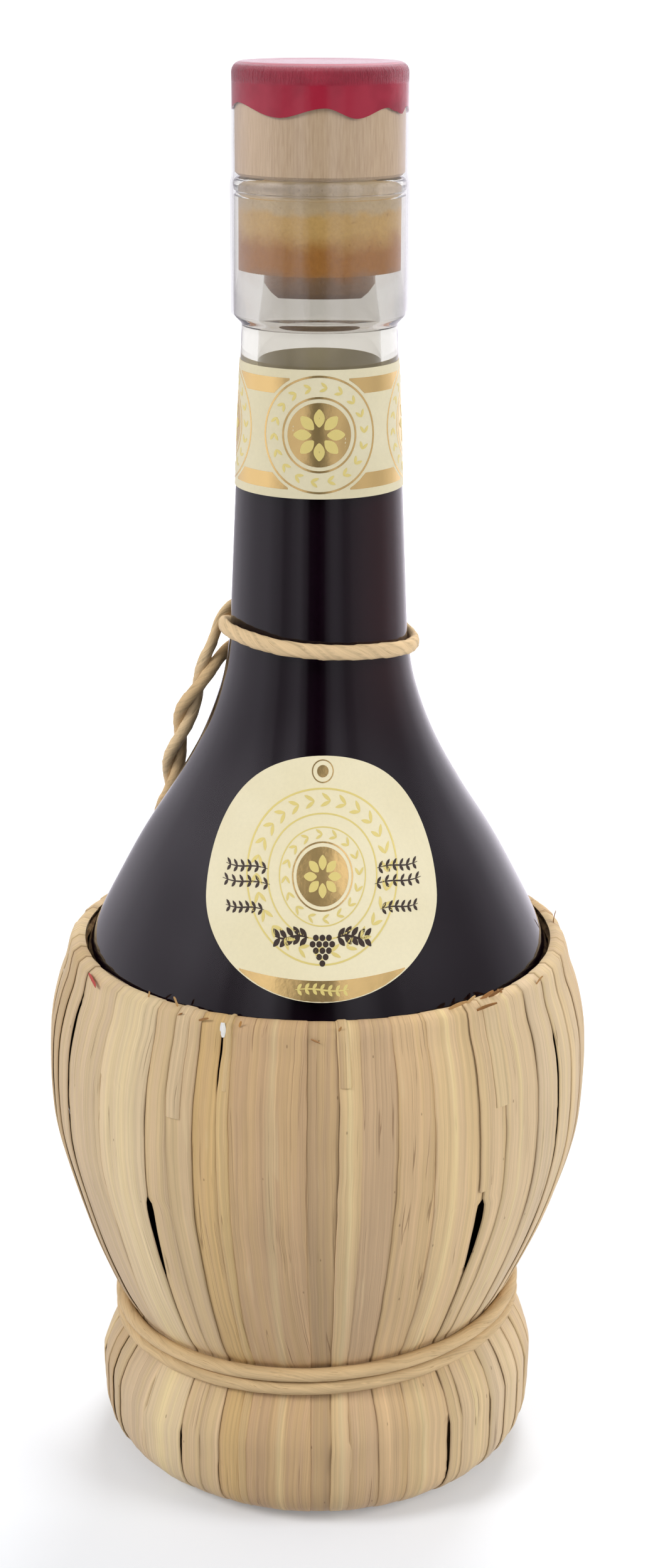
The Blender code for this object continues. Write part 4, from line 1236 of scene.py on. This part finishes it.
def neck_bands():
    """Gold bands along both edges, cut back where they meet a medal."""
    reach = NECK_PRINT_SPAN / 2 * flask_radius(NECK_LABEL_MIDDLE) - NECK_PRINT_MARGIN
    ends = (-reach, *NECK_MEDALS, reach)
    outer, inner = NECK_LABEL_HALF - NECK_BAND_OUTER_INSET, NECK_LABEL_HALF - NECK_BAND_INNER_INSET
    bands = []
    for side in (-1, 1):
        for start, end in zip(ends, ends[1:]):
            rows = []
            for across in spread(start, end, 41):
                clear = min(abs(across - spot) for spot in NECK_MEDALS)
                room = math.sqrt(max((NECK_MEDAL_RADIUS + NECK_PRINT_MARGIN) ** 2 - clear ** 2, 0.0))
                near = max(inner, min(room, outer))
                if near < outer - NECK_BAND_LEAST:
                    rows.append([(across, side * near), (across, side * outer)])
            if len(rows) > 2:
                bands.append(rows)
    return bands


def neck_print(gold, pale_gold):
    """Gold bands along both edges and a wreathed rosette at the front and at both sides."""
    shapes = neck_bands()
    leaves, petals = [], []
    for spot in NECK_MEDALS:
        middle = (spot, 0.0)
        for outer, inner in NECK_RING_INSETS:
            shapes.append(ring_shape(middle, NECK_MEDAL_RADIUS - outer, NECK_MEDAL_RADIUS - inner))
        shapes.append(disc_shape(middle, NECK_MEDAL_RADIUS - NECK_DISC_INSET))
        leaves += wreath(middle, NECK_MEDAL_RADIUS - NECK_LEAF_INSET, 18, *NECK_LEAF)
        petals += rosette(middle, NECK_MEDAL_RADIUS - NECK_PETAL_INSET, 8)
    printed("neck_label_gold", shapes, neck_place, gold)
    printed("neck_label_leaves", leaves, neck_place, pale_gold)
    printed("neck_label_rosettes", petals, neck_place, pale_gold, 2 * FOIL_RISE)


# Print of the shoulder label: the share of its width that is printed, and the sizes of its foot band
SHOULDER_PRINT_SHARE = 0.985
FOOT_BAND_HEIGHT = 3.4 * MM
FOOT_BAND_RISE = 1.2 * MM
FOOT_BAND_EDGE = 0.1 * MM
FOOT_BAND_LEAST = 0.08 * MM
FOOT_BAND_STEPS = 60
# Its medal and the small ring at its top: places, and in millimetres the outer and inner radius of each ring
MEDAL = (0.0, 4.1 * MM)
TOP_SPOT = (0.0, 20.3 * MM)
MEDAL_DISC = 4.5 * MM
TOP_DISC = 1.0 * MM
MEDAL_RINGS_MM = ((5.3, 5.05), (7.6, 7.4), (13.6, 13.3), (9.7, 9.45))
TOP_RING_MM = (1.9, 1.7)
MEDAL_PETALS = 3.3 * MM
# Wreaths: radius in millimetres, number of pairs of leaves, and a leaf's length and width in millimetres
WREATHS_MM = ((6.4, 16, 1.4, 0.45), (11.6, 26, 2.0, 0.6))
# Sprigs in millimetres: near and far end, height, number of pairs of leaves, and a leaf's length and width
FOOT_SPRIG_MM = (-4.6, 4.6, 2.0, 7, 1.2, 0.55)
SIDE_SPRIGS_MM = (
    (9.6, 17.6, 4.9, 6, 1.25, 0.5), (9.2, 18.2, 2.6, 6, 1.25, 0.5), (10.2, 17.4, -1.3, 6, 1.25, 0.5),
    (2.4, 8.2, -5.2, 5, 1.9, 0.85),
)
# Round fruit between the lowest sprigs: how many in each row, and sizes in millimetres
FRUIT_ROWS = (3, 4, 3, 2, 1)
FRUIT_APART_MM = 1.12
FRUIT_TOP_MM = -5.2
FRUIT_ROW_MM = 0.98
FRUIT_RADIUS = 0.5 * MM


def foot_band():
    """Gold band along the shoulder label's lower edge, as rows from its bottom to its top."""
    rows = []
    for share in spread(-1.0, 1.0, 61):
        top = FOOT_BAND_HEIGHT - SHOULDER_LOWER + FOOT_BAND_RISE * share * share
        reach = shoulder_half_width(top) * SHOULDER_PRINT_SHARE
        across = share * reach
        bottom = -SHOULDER_LOWER
        for _ in range(FOOT_BAND_STEPS):
            if shoulder_half_width(bottom) * SHOULDER_PRINT_SHARE >= abs(across):
                break
            bottom += (top + SHOULDER_LOWER) / FOOT_BAND_STEPS
        if bottom < top - FOOT_BAND_LEAST:
            rows.append([(across, bottom + FOOT_BAND_EDGE), (across, blend(bottom, top, 0.5)), (across, top)])
    return rows


def shoulder_print(gold, pale_gold, ink):
    """Gold foot band and medallion, pale leafy rings, and small dark sprigs on both sides."""
    first, second, *others = [ring_shape(MEDAL, outer * MM, inner * MM) for outer, inner in MEDAL_RINGS_MM]
    top_ring = ring_shape(TOP_SPOT, TOP_RING_MM[0] * MM, TOP_RING_MM[1] * MM, 40)
    shapes = [foot_band(), disc_shape(MEDAL, MEDAL_DISC), first, top_ring, disc_shape(TOP_SPOT, TOP_DISC, 24)]
    printed("shoulder_label_gold", shapes, shoulder_place, gold)
    fine = [second]
    for radius, leaves, length, width in WREATHS_MM:
        fine += wreath(MEDAL, radius * MM, leaves, length * MM, width * MM)
    printed("shoulder_label_leaves", fine + others, shoulder_place, pale_gold)
    start, end, up, pairs, length, width = FOOT_SPRIG_MM
    pale = sprig(start * MM, end * MM, up * MM - SHOULDER_LOWER, pairs, length * MM, width * MM)
    pale += rosette(MEDAL, MEDAL_PETALS, 8)
    printed("shoulder_label_rosette", pale, shoulder_place, pale_gold, 2 * FOIL_RISE)
    dark = []
    for side in (-1, 1):
        for near, far, up, pairs, length, width in SIDE_SPRIGS_MM:
            dark += sprig(side * near * MM, side * far * MM, up * MM, pairs, length * MM, width * MM)
    for row, count in enumerate(FRUIT_ROWS):
        for k in range(count):
            across = (k - (count - 1) / 2) * FRUIT_APART_MM * MM
            dark.append(disc_shape((across, (FRUIT_TOP_MM - row * FRUIT_ROW_MM) * MM), FRUIT_RADIUS, 20))
    printed("shoulder_label_sprigs", dark, shoulder_place, ink)


# Straw dress

# Visible edges between blades at the front: degrees round from the front, how tall a step each makes as a
# share of the tallest, and the colour of the blade after it
FRONT_BLADES = (
    (-86, 0.7, (200, 176, 140)), (-78, 0.9, (192, 166, 127)), (-71.5, 0.9, (202, 178, 142)),
    (-65, 1.0, (206, 182, 147)), (-50, 0.3, (213, 191, 153)), (-37, 0.7, (205, 179, 140)),
    (-31.5, 0.35, (205, 179, 140)), (-26, 0.75, (203, 171, 122)), (-20.4, 0.3, (203, 174, 126)),
    (-18, 0.5, (195, 164, 125)), (-2, 0.45, (189, 160, 122)), (4, 0.6, (207, 179, 138)),
    (8.5, 0.2, (197, 168, 131)),
    (16, 0.75, (206, 176, 134)), (24, 0.65, (211, 183, 141)), (36, 0.9, (208, 182, 142)),
    (41, 0.6, (211, 186, 147)), (52, 0.9, (213, 190, 154)), (60, 0.7, (211, 188, 150)),
    (68, 0.8, (208, 184, 147)), (76, 0.8, (204, 179, 141)),
)
BACK_BLADES = 21
BACK_TONES = (
    (206, 181, 142), (196, 168, 128), (210, 187, 149), (188, 158, 120), (202, 173, 132), (207, 182, 145),
)
# Slits where blades part: degrees from the front, top and bottom height in mm, widest in mm
SLITS = (
    (-65, 99, 62, 0.25), (-50, 87, 79, 0.2), (-37, 68, 50, 1.15), (-37, 93, 73, 0.14), (-26, 86, 62, 0.1),
    (-20.4, 101, 88, 0.45), (4, 92, 64, 0.12), (36, 68, 51, 1.4), (36, 98, 70, 0.12), (41, 96, 82, 0.14),
    (60, 93, 64, 0.3), (-37, 19, 5, 0.22), (-26, 14, 3, 0.14), (36, 19, 3, 0.4), (-71.5, 64, 36, 0.25),
    (128, 70, 50, 1.3), (174.1, 22, 5, 0.5), (211.8, 88, 60, 0.4), (247.1, 96, 80, 0.3),
)
# A slit opens the edge that lies within this many degrees of it
SLIT_REACH = 1.2
# Pale veins that stand up a little: degrees from the front and width in mm
VEINS = (
    (-44.5, 0.5), (-40.8, 0.35), (-9.3, 0.45), (6.5, 0.4), (28.5, 0.45), (46.0, 0.35), (112, 0.5), (160, 0.4),
    (205, 0.5),
)
# Loose ends of folded blades: left and right edge in degrees, lowest height in mm, and colour
FLAPS = (
    (4.5, 7.1, 91.5, (200, 172, 132)), (34.3, 37.3, 68.6, (205, 179, 139)),
    (38.9, 42.0, 84.0, (210, 186, 148)), (-31.2, -28.4, 84.0, (208, 184, 146)),
    (-19.6, -18.2, 90.0, (203, 176, 132)), (148, 151, 80.0, (206, 181, 142)),
    (231, 235, 88.0, (202, 173, 132)),
)
FLAP_RISE = 0.2 * MM
# Frayed bits at the rim: degrees from the front, row of the dress that each starts on, length and width in
# mm, how far it stands up and leans round the rim as shares of its length, and its colour
FRAYS = (
    (-62.5, 2, 5.0, 1.0, -0.1, 1.0, (186, 72, 62)), (-41.5, 1, 1.6, 0.35, 0.8, 0.4, (190, 150, 98)),
    (-33.0, 1, 2.0, 0.45, 0.9, -0.2, (196, 158, 106)), (-31.4, 2, 1.3, 0.3, 0.5, 0.7, (150, 108, 62)),
    (-26.0, 2, 2.3, 0.45, 0.35, 0.8, (158, 116, 70)), (-20.6, 2, 2.5, 1.1, -0.95, 0.1, (236, 235, 232)),
    (-16.8, 2, 1.3, 0.4, 0.9, 0.3, (190, 140, 78)), (-1.2, 3, 1.7, 0.3, -0.3, 0.8, (168, 124, 82)),
    (4.6, 2, 1.0, 0.4, 0.7, 0.3, (176, 134, 84)), (31.0, 1, 3.4, 0.7, 0.35, 0.95, (190, 148, 96)),
    (35.4, 1, 2.4, 0.6, 0.6, 0.8, (206, 170, 120)), (37.0, 2, 3.9, 0.6, 0.3, 1.0, (152, 106, 60)),
    (39.6, 1, 3.2, 0.8, 0.4, 0.95, (170, 122, 72)), (42.6, 1, 3.1, 0.7, 0.35, 1.0, (134, 92, 52)),
    (46.4, 1, 2.4, 0.5, 0.5, -0.8, (160, 116, 70)), (58.0, 2, 1.8, 0.4, 0.6, 0.6, (176, 134, 84)),
    (95.0, 1, 2.4, 0.9, 0.6, 0.6, (170, 122, 72)), (141.0, 1, 1.9, 0.6, 0.8, -0.5, (190, 150, 98)),
    (188.0, 2, 2.8, 0.9, 0.4, 0.8, (158, 116, 70)), (236.0, 1, 2.1, 0.8, 0.7, 0.5, (176, 134, 84)),
)
# Where the dress is thin its blades lie flat, and from this thickness on they have their whole relief
FULL_THICKNESS = 1.2 * MM
BLADE_WALL = 0.3 * MM
BLADE_CROWN = 0.08 * MM
# How far an under blade's edge lies below the upper one at most, and where the dress is thin
BLADE_STEP = 0.34 * MM
THIN_STEP = 0.05 * MM
# How far a blade runs on under its neighbour, how far it drops there, and from how wide a slit on it ends
TUCK = 1.9 * MM
TUCK_DROP = 0.7 * MM
TUCKLESS_SLIT = 0.12 * MM
# How ragged a blade's edge is, how far in from it the edge curls down, and how far in painted shade darkens
# it
EDGE_JAG = 0.16 * MM
EDGE_CURL = 0.35 * MM
EDGE_SHADE = 0.45 * MM
VEIN_RISE = 0.12 * MM
# Uneven heights in millimetres: from blade to blade, of fine ripples and of wider folds
LEVEL_SPREAD_MM = 0.05
RIPPLE_MM = 0.05
FOLD_MM = 0.13
LEAST_OFF = 0.02 * MM
INNER_COUNT = 7
VEIN_TONE = (226, 207, 158)
# Colour of the painted shade at blade edges
SHADED_EDGE_TONE = (146, 110, 72)
# Rows down the dress: how far apart they are, how many close ones start round the fold, and how close
ROW_STEP = 1.5 * MM
FOLD_ROWS = 5
FOLD_STEP_SHARE = 0.45
CURVE_PARTS = 12
# Frayed bits: how many rings of points each has, half its thickness and its twist in millimetres
FRAY_RINGS = 9
FRAY_HALF_THICKNESS_MM = 0.05
FRAY_TWIST_MM = 0.1
# The outward kink of the base's blades, which were soaked and bent there
KINK_LEVEL = 19.0 * MM
KINK_REACH = 5.5 * MM
KINK_SPREAD = 0.8 * MM
KINK_HEIGHT = 0.8 * MM
# How far the waist is let down at the left, and the heights between which it is
WAIST_SAG = 3.2 * MM
SAG_BOTTOM = 6.0 * MM
SAG_BOTTOM_EASE = 16.0 * MM
SAG_TOP = 62.0 * MM
SAG_TOP_EASE = 24.0 * MM
LEAST_LEVEL = 0.03 * MM
# Room of the dress over its innermost line in millimetres, lowest and highest: at the fold's ends, where it
# leads off the hoop, down to the waist, at the waist, down the base and under it
FOLD_ANGLES = (115, 90, 65, 40, 15)
FOLD_ROOM_MM = (0.55, 1.0, 1.7)
LEAD_ROOM_MM = (0.95, 2.25)
BELLY_ROOM_MM = (1.0, 2.4)
WAIST_ROOM_MM = (1.5, 2.6)
WAIST_TIGHTENS_OVER = 9.0 * MM
BASE_ROOMS_MM = ((1.3, 2.5), (1.0, 2.4), (0.9, 2.3), (0.9, 2.2), (0.7, 1.8), (0.5, 1.0))
FOOT_ROOM_MM = (0.4, 0.74)
UNDER_ROOM_MM = (0.38, 0.72)
UNDER_STEP = 4.0 * MM


def hoop_radius():
    return flask_radius(HOOP_LEVEL) + HOOP_GAP + HOOP_RADIUS


def waist_radius():
    return flask_radius(WAIST_TOP) + STRAW_GAP


def sagged(point):
    """A point of the dress or its cord, let down a little round the waist, most of all on the left."""
    share = eased((point.z - SAG_BOTTOM) / SAG_BOTTOM_EASE) * eased((SAG_TOP - point.z) / SAG_TOP_EASE)
    leftness = clamp(0.5 - point.x / (2 * waist_radius()))
    return point - Vector((0, 0, WAIST_SAG * leftness * share))


def dress_line():
    """Innermost line of the dress with the room over it: (radius, height, lowest, highest outer side)."""
    fold = HOOP_RADIUS + HOOP_GAP
    lowest, start_room, end_room = FOLD_ROOM_MM
    stations = []
    for angle in FOLD_ANGLES:
        turn = math.radians(angle)
        radius, level = hoop_radius() + fold * math.cos(turn), HOOP_LEVEL + fold * math.sin(turn)
        highest = blend(start_room, end_room, 1.0 - angle / FOLD_ANGLES[0])
        stations.append((radius, level, lowest, highest))
    lead = HOOP_LEVEL - RIM_LEAD
    stations.append((flask_radius(lead) + STRAW_GAP, lead, *LEAD_ROOM_MM))
    for level in spread(lead, WAIST_TOP, 22)[1:]:
        tight = eased((WAIST_TOP + WAIST_TIGHTENS_OVER - level) / WAIST_TIGHTENS_OVER)
        rooms = [blend(belly, waist, tight) for belly, waist in zip(BELLY_ROOM_MM, WAIST_ROOM_MM)]
        stations.append((flask_radius(level) + STRAW_GAP, level, *rooms))
    for level in ((WAIST_TOP + WAIST_BOTTOM) / 2, WAIST_BOTTOM):
        stations.append((waist_radius(), level, *WAIST_ROOM_MM))
    for (height_share, swell_share), rooms in zip(BASE_SHARES, BASE_ROOMS_MM):
        stations.append((waist_radius() + BASE_SWELL * swell_share, WAIST_BOTTOM * height_share, *rooms))
    stations.append((waist_radius() - BASE_FLAT_INSET, BLADE_FOOT, *FOOT_ROOM_MM))
    for radius in (BASE_INNER_RADIUS + UNDER_STEP, BASE_INNER_RADIUS):
        stations.append((radius, BLADE_FOOT, *UNDER_ROOM_MM))
    return resampled([Vector((r, z, low * MM, high * MM)) for r, z, low, high in stations])


def resampled(stations):
    """Rows at equal steps along a smooth curve through the stations, and at shorter ones round the fold."""
    dense = []
    chords = [max((Vector(b[:2]) - Vector(a[:2])).length, MM / 10) for a, b in zip(stations, stations[1:])]
    slopes = []
    for i in range(len(stations)):
        before, after = max(i - 1, 0), min(i + 1, len(stations) - 1)
        slopes.append((stations[after] - stations[before]) / sum(chords[before:after]))
    for i, chord in enumerate(chords):
        leave, arrive = slopes[i] * chord, slopes[i + 1] * chord
        for k in range(CURVE_PARTS):
            dense.append(hermite(stations[i], leave, stations[i + 1], arrive, k / CURVE_PARTS))
    dense.append(stations[-1])
    rows = [dense[0]]
    travel = 0.0
    for a, b in zip(dense, dense[1:]):
        travel += (Vector(b[:2]) - Vector(a[:2])).length
        if travel >= (ROW_STEP * FOLD_STEP_SHARE if len(rows) < FOLD_ROWS else ROW_STEP):
            rows.append(b)
            travel = 0.0
    return rows + [dense[-1]]


def blade_edges():
    """Edges and colours of all blades round the dress, in degrees from the front, going round once."""
    rng = random.Random(SEED)
    edges = list(FRONT_BLADES)
    start, end = FRONT_BLADES[-1][0] + 9, FRONT_BLADES[0][0] + 360
    for i in range(BACK_BLADES):
        share = (i + 0.5 * (rng.random() - 0.5)) / BACK_BLADES
        edges.append((blend(start, end, share), rng.uniform(0.3, 0.9), rng.choice(BACK_TONES)))
    return edges


def slit_half(edge, level):
    """Half the width of a slit at one edge and height."""
    width = 0.0
    for degrees, top, bottom, widest in SLITS:
        if abs(off_edge(degrees, edge)) > SLIT_REACH or not bottom * MM < level < top * MM:
            continue
        share = (top * MM - level) / ((top - bottom) * MM)
        width = max(width, widest * MM * min(share * 12, 1.0) * min((1 - share) * 1.35, 1.0))
    return width / 2


def edge_angle(edge, travel):
    """Where an edge runs at a share of the way down the dress: it wanders a little."""
    wander = noise.noise(Vector((edge % 360 * 0.37, travel * 3.2, 1.7))) * 1.1
    return math.radians(edge + wander)


def off_edge(degrees, edge):
    return (degrees - edge + 180) % 360 - 180


def vein_height(veins, radius, turn, left):
    """How much of a vein stands up at a turn round the axis, from 0 to 1."""
    height = 0.0
    for degrees, wide in veins:
        apart = turn - math.radians(left + degrees)
        height = max(height, math.exp(-(apart * radius / (wide * MM)) ** 2))
    return height


def blade(name, line, left, right, over, steps, tone, material, seed, nodes, last=None, raised=0.0):
    """One folded blade between two edges, over or under its neighbours at each."""
    rng = random.Random(seed)
    last = len(line) - 1 if last is None else last
    level_shift = rng.uniform(-LEVEL_SPREAD_MM, LEVEL_SPREAD_MM) * MM
    kink = KINK_LEVEL + rng.uniform(-1.0, 1.0) * KINK_SPREAD
    veins = [(off_edge(degrees, left), wide) for degrees, wide in VEINS]
    veins = [(degrees, wide) for degrees, wide in veins if 0 < degrees < right - left]
    columns = 12 + round(0.9 * (right - left))
    foot_short = rng.randint(0, 4) if last == len(line) - 1 else 0
    normals = normals_of([(v.x, v.y) for v in line])
    rings, tones, lays = [], [], []
    picked = [round(i) for i in spread(columns - 1, 0, INNER_COUNT)]
    base, yellow, shaded = Vector(linear(tone)), Vector(linear(VEIN_TONE)), Vector(linear(SHADED_EDGE_TONE))
    flat_from = len(line) - 1
    while flat_from > 0 and line[flat_from].y < BLADE_FOOT * 1.05:
        flat_from -= 1
    for row in range(last + 1 - foot_short):
        radius, level, low, high = line[row]
        normal = Vector((0.0, -1.0)) if row > flat_from + 1 else normals[row]
        travel = row * ROW_STEP / MM
        slits = [slit_half(left, level), slit_half(right, level)]
        begin = edge_angle(left, row / len(line)) * radius + slits[0]
        finish = edge_angle(right, row / len(line)) * radius - slits[1]
        begin += EDGE_JAG * noise.noise(Vector((left * 3.1, travel * 0.21, seed * 0.01)))
        finish += EDGE_JAG * noise.noise(Vector((right * 2.3, travel * 0.19, 5 + seed * 0.01)))
        width = finish - begin
        tucks = []
        for side in (0, 1):
            room = min(TUCK, width * 0.5)
            tucks.append(0.0 if over[side] else room * (1 - clamp(slits[side] / TUCKLESS_SLIT)))
        squeeze = clamp((high - low) / FULL_THICKNESS)
        wall = min(BLADE_WALL, high * 0.62)
        top = high + level_shift * squeeze + raised
        if level < WAIST_BOTTOM:
            top += KINK_HEIGHT * squeeze * (1 - clamp(abs(level - kink) / KINK_REACH))
        step_down = BLADE_STEP * squeeze + THIN_STEP * (1 - squeeze)
        sides = [top if over[side] else top - step_down * steps[side] for side in (0, 1)]
        whole = width + tucks[0] + tucks[1]
        outer, inner = [], []
        for j in range(columns):
            plain = j / (columns - 1)
            at = (0.55 * plain + 0.45 * (0.5 - 0.5 * math.cos(math.pi * plain))) * whole - tucks[0]
            t = clamp(at / width)
            out = blend(sides[0], sides[1], eased(t))
            out += BLADE_CROWN * squeeze * 4 * t * (1 - t)
            for past, tuck in ((-at, tucks[0]), (at - width, tucks[1])):
                if past > 0:
                    out = blend(out, max(low, out - TUCK_DROP), eased(past / max(tuck, MM / 10)))
            vein = vein_height(veins, radius, (begin + at) / radius, left)
            out += VEIN_RISE * vein * squeeze
            ripple = noise.noise(Vector((at / MM * 0.9 + seed, travel * 0.02, 2.2)))
            fold = noise.noise(Vector((at / MM * 0.3 + seed, travel * 0.05, 8.1)))
            out += (RIPPLE_MM * ripple + FOLD_MM * fold) * MM * squeeze
            curl = 1 - clamp(min(at + tucks[0], width + tucks[1] - at) / EDGE_CURL)
            under = max(out - wall * (1 - 0.25 * curl), LEAST_OFF)
            out -= wall * 0.4 * curl * curl
            shade = 1.0 + 0.06 * noise.noise(Vector((at / MM * 0.16 + seed, travel * 0.02, 0.4)))
            # Painted shade: an under blade darkens towards each edge that its neighbour lies over, more where
            # the step is taller, and every edge darkens where it curls down
            brown = 0.0
            for side, from_edge in ((0, at), (1, width - at)):
                if not over[side]:
                    brown = max(brown, (0.25 + 0.75 * steps[side]) * (1 - clamp(from_edge / EDGE_SHADE)))
            colour = (base * shade).lerp(yellow, 0.55 * vein).lerp(shaded, 0.32 * brown + 0.18 * curl)
            tones.append((*colour, 1.0))
            lays.append((at / MM, travel, seed * 3.7))
            angle = FRONT + (begin + at) / radius
            for points, off in ((outer, out), (inner, under)):
                height = max(level + normal.y * off, LEAST_LEVEL)
                points.append(sagged(around(radius + normal.x * off, angle, height)))
        rings.append(outer + [inner[i] for i in picked])
        here = len(tones) - columns
        tones += [tones[here + i] for i in picked]
        lays += [lays[here + i] for i in picked]
    piece = mesh_piece(name, *skinned(rings), material, "bottle", nodes, "straw_tan", sharp=70)
    paint(piece, "tone", "FLOAT_COLOR", tones)
    paint(piece, "lay", "FLOAT_VECTOR", lays)


def frays(line, material):
    """Torn bits of straw along the rim, as small curled strips."""
    normals = normals_of([(v.x, v.y) for v in line])
    strips, tones, lays = [], [], []
    for seed, (degrees, row, length, width, lift, lean, tone) in enumerate(FRAYS):
        radius, level, _, high = line[row]
        normal = normals[row]
        angle = FRONT + math.radians(degrees)
        start = around(radius + normal.x * high, angle, level + normal.y * high)
        outward = around(1.0, angle, 0.0)
        along = Vector((-outward.y, outward.x, 0.0))
        way = (along * lean + Vector((0, 0, lift)) + outward * 0.12).normalized()
        across = way.cross(outward).normalized()
        thick = outward * FRAY_HALF_THICKNESS_MM * MM
        rings = []
        for i in range(FRAY_RINGS):
            share = i / (FRAY_RINGS - 1)
            middle = start + way * length * MM * (share - 0.1)
            rise = 0.12 + 0.3 * length * share * share * abs(noise.noise(Vector((seed, 2.5, 0.3))))
            middle += outward * MM * rise
            half = across * width * MM / 2 * (0.3 + 0.7 * math.sin(math.pi * (0.12 + 0.8 * share)))
            half += outward * MM * FRAY_TWIST_MM * noise.noise(Vector((seed, share * 3, 1.1)))
            rings.append([middle - half + thick, middle + thick * 2.4, middle + half + thick,
                          middle + half - thick, middle + thick * 0.4, middle - half - thick])
            shade = 0.85 + 0.3 * abs(noise.noise(Vector((seed, share * 4, 4.2))))
            tones += [(*[c * shade for c in linear(tone)], 1.0)] * 6
            lays += [(at * width, share * length, seed * 5.3) for at in (-0.5, 0, 0.5, 0.5, 0, -0.5)]
        strips.append(skinned(rings))
    piece = mesh_piece("dress_frays", *joined(strips), material, "bottle", (), "straw_tan", sharp=50)
    paint(piece, "tone", "FLOAT_COLOR", tones)
    paint(piece, "lay", "FLOAT_VECTOR", lays)

def node_angles(nodes):
    """Middle of every blade node in degrees from the front, by name."""
    angles = {}
    for name, node in nodes.items():
        if not name.startswith("straw_blade_"):
            continue
        centre = Vector((0.0, 0.0, 0.0))
        for vert in node.data.vertices:
            centre += vert.co
        place = node.matrix_world @ (centre / len(node.data.vertices))
        angles[name] = math.degrees((math.atan2(place.y, place.x) - FRONT) % FULL_TURN)
    return angles


def straw_dress(material, nodes):
    line = dress_line()
    edges = blade_edges()
    angles = node_angles(nodes)
    count = len(edges)
    middles = []
    for i in range(count):
        left = edges[i][0]
        right = edges[(i + 1) % count][0] + (360 if i + 1 == count else 0)
        middles.append((left + right) / 2)
    owners = {i: [] for i in range(count)}
    for name, angle in angles.items():
        apart = [abs((angle - m + 180) % 360 - 180) for m in middles]
        owners[apart.index(min(apart))].append(name)
    rng = random.Random(SEED + 1)
    left_over = []
    for edge, _, _ in edges:
        if edge < 1:
            left_over.append(True)
        elif edge < 90:
            left_over.append(False)
        else:
            left_over.append(rng.random() < 0.5)
    for i in range(count):
        after = (i + 1) % count
        left = edges[i][0]
        right = edges[after][0] + (360 if after == 0 else 0)
        over = (not left_over[i], left_over[after])
        steps = (edges[i][1], edges[after][1])
        blade(
            f"dress_blade_{i + 1:02d}", line, left, right, over, steps, edges[i][2], material, 11 + i,
            tuple(owners[i]),
        )
    for number, (left, right, bottom, tone) in enumerate(FLAPS):
        last = max(i for i, v in enumerate(line) if v.y > bottom * MM)
        blade(
            f"dress_flap_{number + 1}", line, left, right, (True, True), (1.0, 1.0), tone, material,
            91 + number, (), last=last, raised=FLAP_RISE,
        )
    frays(line, material)


def build():
    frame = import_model()
    add_camera()
    twine_material = twine_look()
    carrying_cord(twine_material)
    add_studio()
    add_floor()
    flask_glass(glass_look())
    condiment_fill(condiment_look())
    stopper(beech_look(), cork_look())
    red_cap(red_film_look())
    clear_sleeve(clear_film_look())
    neck_label(paper_look("neck_label_paper", 0.88))
    shoulder_label(paper_look("label_paper"))
    gold = foil_look("gold_foil", (240, 207, 138), 0.85, 0.22)
    pale_gold = foil_look("pale_gold_print", (221, 203, 126), 0.15, 0.4)
    ink = foil_look("dark_ink", (52, 40, 32), 0.0, 0.5)
    neck_print(gold, pale_gold)
    shoulder_print(gold, pale_gold, ink)
    straw_dress(straw_look(), frame["nodes"])
    packed = packed_straw_look()
    for name in ("rim_hoop", "base_ring"):
        for slot in frame["nodes"][name].material_slots:
            slot.material = packed
    wound = [sagged(point) for point in waist_cord_points(waist_radius())]
    twine(
        "waist_cord", wound, WAIST_CORD_DIAMETER, twine_material, WAIST_CORD_TONE, 4.5, WAIST_LAY, depth=0.5,
    )


build()
